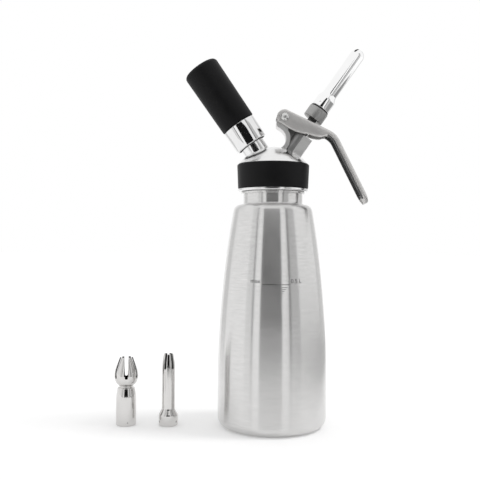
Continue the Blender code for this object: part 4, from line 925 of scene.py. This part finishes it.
def cut_tip(tip, tip_frame, outline, reach, turns, base_radius, dimple_turn, one_sided=False):
    """Cuts a tip's slots, through or to one side, and the three spanner dimples in its base."""
    half = reach / 2 if one_sided else reach
    cutters = []
    for turn in turns:
        slot_frame = shifted(turned(tip_frame, turn, "Z"), 0, half - reach, 0)
        cutters.append(extruded("cutter", outline, half, slot_frame))
    for number in range(DIMPLES):
        angle = dimple_turn - QUARTER_TURN + math.tau * number / DIMPLES
        spot = Vector((base_radius * math.cos(angle), base_radius * math.sin(angle), DIMPLE_HEIGHT)) * MM
        aim = turned(Matrix.Rotation(angle, 4, "Z"), QUARTER_TURN, "Y")
        drill = [(0, -0.7), (0.4, -0.5), (0.7, -0.5), (0.7, 0.7), (0, 0.7)]
        cutters.append(spun("cutter", drill, DIMPLE_STEPS, tip_frame @ Matrix.Translation(spot) @ aim))
    cut(tip, cutters)
    rounded_edges(tip, 0.12)
    mark_painted_shade(tip, tip_frame, in_bore)


def in_bore(centre, normal):
    """How much shade is painted on a tip: one for its inner wall, and less for the walls of its slots."""
    radius = math.hypot(centre.x, centre.y)
    outward = (centre.x * normal.x + centre.y * normal.y) / max(radius, 0.1)
    if outward < -0.3:
        return 1
    return 0.6 if centre.z > 34 and abs(outward) < 0.45 and abs(normal.z) < 0.5 else 0


def make_straight_tip():
    """The fitted tip: a round-ended tube with one slot across its end."""
    radius = 5.4
    bore = 4.4
    end = 47.3
    outline = [(TIP_SOCKET, 0), (6.65, 0), (7.05, 0.4), (7.05, 8.4), (radius, 11.9)]
    outline += arc((0, end), radius, 0, QUARTER_TURN, 16)[:-1] + [(0, end + radius), (0, end + bore)]
    outline += arc((0, end), bore, QUARTER_TURN, 0, 12)[1:] + [(bore, 10.9), (TIP_SOCKET, 7.4)]
    tip = spun("fitted_tip", softened(outline, 0.6, 5), MEDIUM_STEPS, FITTED_FRAME)
    slot = slot_shape(48.1, 54.7, 1.6, 1.6)
    cut_tip(tip, FITTED_FRAME, slot, 7.4, [math.radians(-38)], 7.05, math.radians(-22.5))
    dress(tip, "fitted_tip", "polished_steel", BRIGHT_STEEL, "straight_tip")


def make_star_tip():
    """The loose slim tip, whose end is slit into tines."""
    outline = [(TIP_SOCKET, 0), (6.7, 0), (7.1, 0.4), (7.1, 8), (4.85, 12)]
    outline += [(4.85, 42.28), (4.4, 46.9), (3.5, 52.4), (2.5, 52.4), (3.4, 46.9)]
    outline += [(3.85, 42.28), (3.85, 11), (TIP_SOCKET, 7)]
    tip = spun("tined_tip", softened(outline, 0.6, 5), MEDIUM_STEPS, STAR_FRAME)
    slot = slot_shape(41.4, 54.4, 1.7, 1.7)
    turns = [math.radians(38.7) + math.tau * number / STAR_TINES for number in range(STAR_TINES)]
    cut_tip(tip, STAR_FRAME, slot, 6.85, turns, 7.1, math.radians(52.5), one_sided=True)
    dress(tip, "star_tip", "polished_steel", TIP_STEEL, "star_tip")


def make_tulip_tip():
    """The loose wide tip, whose bulb is slit into petals."""
    height_shares = (0.07, 0.17, 0.31, 0.42, 0.53, 0.69, 0.86, 1.0)
    radius_shares = (0.58, 0.85, 1.0, 0.97, 0.87, 0.61, 0.28, 0.0)
    bulb = [(5.4, BULB_START)]
    for rise, swell in zip(height_shares, radius_shares):
        radius = BULB_NECK + (BULB_RADIUS - BULB_NECK) * swell
        bulb.append((radius, BULB_START + (BULB_TOP - BULB_START) * rise))
    bulb = curved(bulb, 4)[1:]
    outline = [(TIP_SOCKET, 0), (7.0, 0), (7.4, 0.4), (7.44, 12), (7.42, 18), (7.3, 21), (7.05, 23.5)]
    outline += [(6.55, 25.8), (6.25, 27.6), (5.0, 27.9), (5.0, 28.8), (5.4, BULB_START)] + bulb
    outline += [(radius - 1.0, height) for radius, height in bulb[::-3]]
    outline += [(4.0, BULB_START), (4.0, 27.2), (TIP_SOCKET, 13.6)]
    tip = spun("tulip_nozzle", softened(outline, 0.5, 4), MEDIUM_STEPS, TULIP_FRAME)
    slot = slot_shape(34.5, 51.7, 2.2, 3.4)
    turns = [math.tau * number / 6 for number in range(3)]
    cut_tip(tip, TULIP_FRAME, slot, 10.75, turns, 7.4, math.radians(7.5))
    dress(tip, "tulip_tip", "polished_steel", TIP_STEEL, "tulip_tip")


def curved(points, steps):
    """A smooth line through the points."""
    padded = [points[0]] + list(points) + [points[-1]]
    line = []
    for index in range(1, len(padded) - 2):
        a, b, c, d = (Vector(padded[index + shift]) for shift in (-1, 0, 1, 2))
        for step in range(steps):
            t = step / steps
            point = b * 2 + (c - a) * t + (a * 2 - b * 5 + c * 4 - d) * t**2 + (b * 3 - a - c * 3 + d) * t**3
            line.append(tuple(point / 2))
    line.append(tuple(points[-1]))
    return line


# Charger and its holder

CUP_BORE = 9.45
CUP_RADIUS = 11.35
CUP_END = 94.77
CUP_ROUND = 3.8
END_WALL = 1.2
MOUTH_RADIUS = 11.3
SLEEVE_GAP = 0.3
SLEEVE_END = CUP_END + SLEEVE_GAP + END_WALL
SLEEVE_RADIUS = 13.6
SLEEVE_ROUND = 3
CHARGER_START = 27.57
CHARGER_LENGTH = 65.5
CHARGER_RADIUS = 8.95


def make_holder():
    """The holder's steel cup, with its bright ring and its thread, and the sleeve on it."""
    inside = arc((0, CUP_END - END_WALL - CUP_BORE), CUP_BORE, QUARTER_TURN, 0, 12)
    round_centre = (CUP_RADIUS - CUP_ROUND, CUP_END - CUP_ROUND)
    outside = arc(round_centre, CUP_ROUND, 0, QUARTER_TURN, 8)
    outline = [(MOUTH_RADIUS, 27.8), (11.9, 27.8), (12.4, 28.3), (12.8, 44.9), (12.3, 45.4)]
    outline += [(CUP_RADIUS, 45.4)] + outside + [(0, CUP_END), (0, inside[0][1])]
    outline += inside[1:] + [(CUP_BORE, 31)]
    cup = spun("holder_cup", softened(outline, 0.15), MEDIUM_STEPS, CHARGER_FRAME)
    mark_painted_shade(cup, CHARGER_FRAME, in_mouth)
    dress(cup, "charger_holder", "polished_steel", CUP_STEEL, "charger_cup")
    screw = thread("cup_thread", CUP_BORE, -0.2, 31.65, HOLDER_PITCH, 1.5, 0.9, CHARGER_FRAME)
    mark_painted_shade(screw, CHARGER_FRAME, in_mouth)
    dress(screw, "charger_holder", "polished_steel", CUP_STEEL)
    corner_centre = (SLEEVE_RADIUS - SLEEVE_ROUND, SLEEVE_END - SLEEVE_ROUND)
    corner = arc(corner_centre, SLEEVE_ROUND, 0, QUARTER_TURN, 12)
    crown = [(8, 0.34), (5.3, 0.64), (2.6, 0.83), (0, 0.9)]
    crown = [(radius, SLEEVE_END + rise) for radius, rise in crown]
    inner = arc(round_centre, CUP_ROUND + SLEEVE_GAP, 0, QUARTER_TURN, 8)
    outline = [(11.65, 45.7), (12.1, 45.7), (12.75, 45.95), (13.0, 46.6)] + corner + crown
    outline += [(0, CUP_END + SLEEVE_GAP)] + inner[::-1]
    sleeve = spun("holder_sleeve", outline, MEDIUM_STEPS, CHARGER_FRAME)
    dress(sleeve, "charger_holder", "black_silicone", SILICONE, "cup_sleeve")


def in_mouth(centre, normal):
    """Where shade is painted on the cup: its countersunk mouth and the bore behind it."""
    return math.hypot(centre.x, centre.y) < MOUTH_RADIUS - 0.05 and centre.z < 45


def make_charger():
    """The gas bulb in the holder: pierced neck, shoulder and round end."""
    outline = [(0, 7), (1.5, 7), (1.5, 0), (4.25, 0), (4.25, 9), (7.4, 12), (CHARGER_RADIUS, 15)]
    outline += arc((0, CHARGER_LENGTH - CHARGER_RADIUS), CHARGER_RADIUS, 0, QUARTER_TURN, 12)[:-1]
    outline.append((0, CHARGER_LENGTH))
    outline = [(radius, CHARGER_START + height) for radius, height in outline]
    bulb = spun("gas_charger", softened(outline, 1.2, 6), NARROW_STEPS, CHARGER_FRAME)
    dress(bulb, "charger", "brushed_steel", CHARGER_STEEL, "charger")


# Fill mark

FILL_HEIGHT = 105.9
FIGURE_SIZE = 4.3
TICK_TOP = 104.0
TICK_STEP = 1.3
MARK_SINK = 0.03
MARK_THICKNESS = 0.05
MARK_STEPS = 12


def wrapped(name, bm, height):
    """Bends a flat mark, drawn in X and Y and raised in Z, round the bottle at a height."""
    for vert in bm.verts:
        level = height + vert.co.y
        angle = vert.co.x / bottle_radius(level)
        radius = bottle_radius(level) + vert.co.z
        vert.co = (radius * math.sin(angle), -radius * math.cos(angle), level)
    dress(place(name, bm), "bottle", "brushed_steel", ETCH)


def bar(left, right, half_height):
    """A thin raised strip, cut across so that it bends."""
    bm = bmesh.new()
    corners = [(left, -half_height), (right, -half_height), (right, half_height), (left, half_height)]
    face = bm.faces.new([bm.verts.new((x, y, -MARK_SINK)) for x, y in corners])
    push(bm, bmesh.ops.extrude_face_region(bm, geom=[face]), (0, 0, MARK_THICKNESS))
    for step in range(1, MARK_STEPS):
        at = left + (right - left) * step / MARK_STEPS
        everything = bm.verts[:] + bm.edges[:] + bm.faces[:]
        bmesh.ops.bisect_plane(bm, geom=everything, plane_co=(at, 0, 0), plane_no=(1, 0, 0))
    return bm


def figures(text, left):
    """Plain figures as a thin raised mark."""
    words = bpy.data.curves.new("figures", "FONT")
    words.body = text
    words.size = FIGURE_SIZE
    words.extrude = MARK_THICKNESS / 2
    words.resolution_u = 3
    bm = bmesh.new()
    bm.from_mesh(mesh_of("figures", words))
    bmesh.ops.translate(bm, verts=bm.verts[:], vec=(left, 0, MARK_THICKNESS / 2 - MARK_SINK))
    return bm


def make_fill_mark():
    """The line that shows how far to fill, with its figures and its shrinking ticks."""
    wrapped("fill_line", bar(-8.6, 10.2, 0.2), FILL_HEIGHT)
    for number in range(4):
        wrapped(f"fill_tick_{number + 1}", bar(4.9, 8.9 - number, 0.16), TICK_TOP - TICK_STEP * number)
    wrapped("fill_word", figures("max", -17.4), FILL_HEIGHT + 1)
    wrapped("fill_figure", figures("0.5 L", 11.3), FILL_HEIGHT + 1)


# Build

make_bottle()
make_dome()
make_port()
make_bracket()
make_grip_ring()
make_collar()
make_adapter()
make_spring()
make_lever()
make_pivot()
make_straight_tip()
make_star_tip()
make_tulip_tip()
make_holder()
make_charger()
make_fill_mark()

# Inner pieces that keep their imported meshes
KEPT_PIECES = {
    "head_gasket": SILICONE,
    # The stem's near-black steel is painted shade in the gap round it.
    "valve_stem": GAP_SHADE_STEEL,
    "valve_seal": RUBBER,
    "seal_nut": POLISHED,
    "stem_o_ring": RUBBER,
    "stem_guide": PLASTIC,
    "tip_washer": RUBBER,
    "piercing_pin": POLISHED,
    "pin_retainer": POLISHED,
    "charger_gasket": RUBBER,
    "check_valve": RUBBER,
}
for node, material in KEPT_PIECES.items():
    for material_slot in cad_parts[node].material_slots:
        material_slot.material = material


# Stage, in metres


WHITE_LIFT = 0.2


def seen_lift(tree):
    """A lift to white for camera, glossy and transmission rays, and zero for the light on the object."""
    path = tree.nodes.new("ShaderNodeLightPath")
    seen = math_node(tree, "MAXIMUM", path.outputs["Is Camera Ray"], path.outputs["Is Glossy Ray"])
    seen = math_node(tree, "MAXIMUM", seen, path.outputs["Is Transmission Ray"])
    return math_node(tree, "MULTIPLY", seen, WHITE_LIFT)


def paper(name, tone, glow_tone):
    """A plain matt surface of one tone, with a glow of another."""
    material = bpy.data.materials.new(name)
    material.use_nodes = True
    shader = material.node_tree.nodes["Principled BSDF"]
    shader.inputs["Base Color"].default_value = (tone, tone, tone, 1)
    shader.inputs["Roughness"].default_value = 0.9
    shader.inputs["Specular IOR Level"].default_value = 0.0
    shader.inputs["Emission Color"].default_value = (glow_tone, glow_tone, glow_tone, 1)
    shader.inputs["Emission Strength"].default_value = 1.0
    return material


def flat_panel(name, width, length, location):
    """A flat sheet that lies level at a place."""
    bm = bmesh.new()
    bmesh.ops.create_grid(bm, x_segments=1, y_segments=1, size=0.5)
    bmesh.ops.scale(bm, vec=(width, length, 1), verts=bm.verts[:])
    panel = built(name, bm)
    panel.location = location
    return panel


def only_mirrored(card, tone):
    """Gives a card one flat tone, and hides it from the camera and from the light on the object."""
    card.data.materials.append(paper(card.name, 0, tone))
    card.visible_camera = False
    card.visible_diffuse = False
    card.visible_shadow = False


def flag(name, angle_from, angle_to, height, tone):
    """A card bent round the object, which shows only as a reflection. Angles go from -Y towards +X."""
    bm = bmesh.new()
    angles = [angle_from + (angle_to - angle_from) * step / FLAG_STEPS for step in range(FLAG_STEPS + 1)]
    bottom = []
    for angle in map(math.radians, angles):
        bottom.append(bm.verts.new((FLAG_DISTANCE * math.sin(angle), -FLAG_DISTANCE * math.cos(angle), 0)))
    edges = [bm.edges.new(pair) for pair in zip(bottom, bottom[1:])]
    push(bm, bmesh.ops.extrude_edge_only(bm, edges=edges), (0, 0, height))
    only_mirrored(built(name, bm), tone)


FLOOR_SIZE = 12
FLOOR_TONE = 0.9
CARD_HEIGHT = 0.0005
FLAG_DISTANCE = 0.45
FLAG_STEPS = 12

# Flags, as (name, from, to, height, tone)
FLAGS = (
    ("front_flag", -28, 18, 0.40, 0.01),
    ("left_thin_flag", -46, -42, 0.6, 0.2),
    ("left_grey_flag", -60, -46, 0.6, 0.8),
    ("right_thin_flag", 33, 38, 0.6, 0.1),
    ("right_grey_flag", 38, 58, 0.6, 0.55),
    ("right_back_flag", 118, 146, 0.6, 0.75),
    ("left_back_flag", -142, -118, 0.6, 0.75),
)

floor = flat_panel("floor", FLOOR_SIZE, FLOOR_SIZE, (0, 0, 0))
floor_paper = paper("floor_paper", FLOOR_TONE, 1)
tree = floor_paper.node_tree
tree.links.new(seen_lift(tree), tree.nodes["Principled BSDF"].inputs["Emission Strength"])
floor.data.materials.append(floor_paper)

for row in FLAGS:
    flag(*row)
only_mirrored(flat_panel("table_card", 0.72, 1.3, (0.54, -0.15, CARD_HEIGHT)), 0.3)

# A wide soft lamp, whose disc isn't mirrored in the metal
light = bpy.data.lights.new("key_sun", "SUN")
light.angle = math.radians(16)
light.energy = 0.7
key_sun = linked("key_sun", light)
key_sun.rotation_euler = Vector((0.565, -0.02, 0.82)).to_track_quat("Z", "Y").to_euler()
key_sun.visible_glossy = False

world = bpy.data.worlds.new("studio")
bpy.context.scene.world = world
world.use_nodes = True
tree = world.node_tree
background = tree.nodes["Background"]
background.inputs["Color"].default_value = (1, 1, 1, 1)
strength = math_node(tree, "ADD", seen_lift(tree), 1 - WHITE_LIFT)
tree.links.new(strength, background.inputs["Strength"])


# Camera

CAMERA_PLACE = (-0.0242, -0.5188, 0.1366)
CAMERA_LENS = 52.5
CAMERA_SENSOR = 36
CAMERA_ROLL = math.radians(0.403)

camera_data = bpy.data.cameras.new("camera")
camera_data.lens = CAMERA_LENS
camera_data.sensor_width = CAMERA_SENSOR
camera_data.clip_start = 0.01
camera = linked("camera", camera_data)
right = (math.cos(CAMERA_ROLL), 0, math.sin(CAMERA_ROLL))
up = (-math.sin(CAMERA_ROLL), 0, math.cos(CAMERA_ROLL))
aim = Matrix((right, up, (0, -1, 0))).transposed().to_4x4()
camera.matrix_world = Matrix.Translation(CAMERA_PLACE) @ aim
bpy.context.scene.camera = camera
bpy.context.scene.view_settings.view_transform = "Standard"
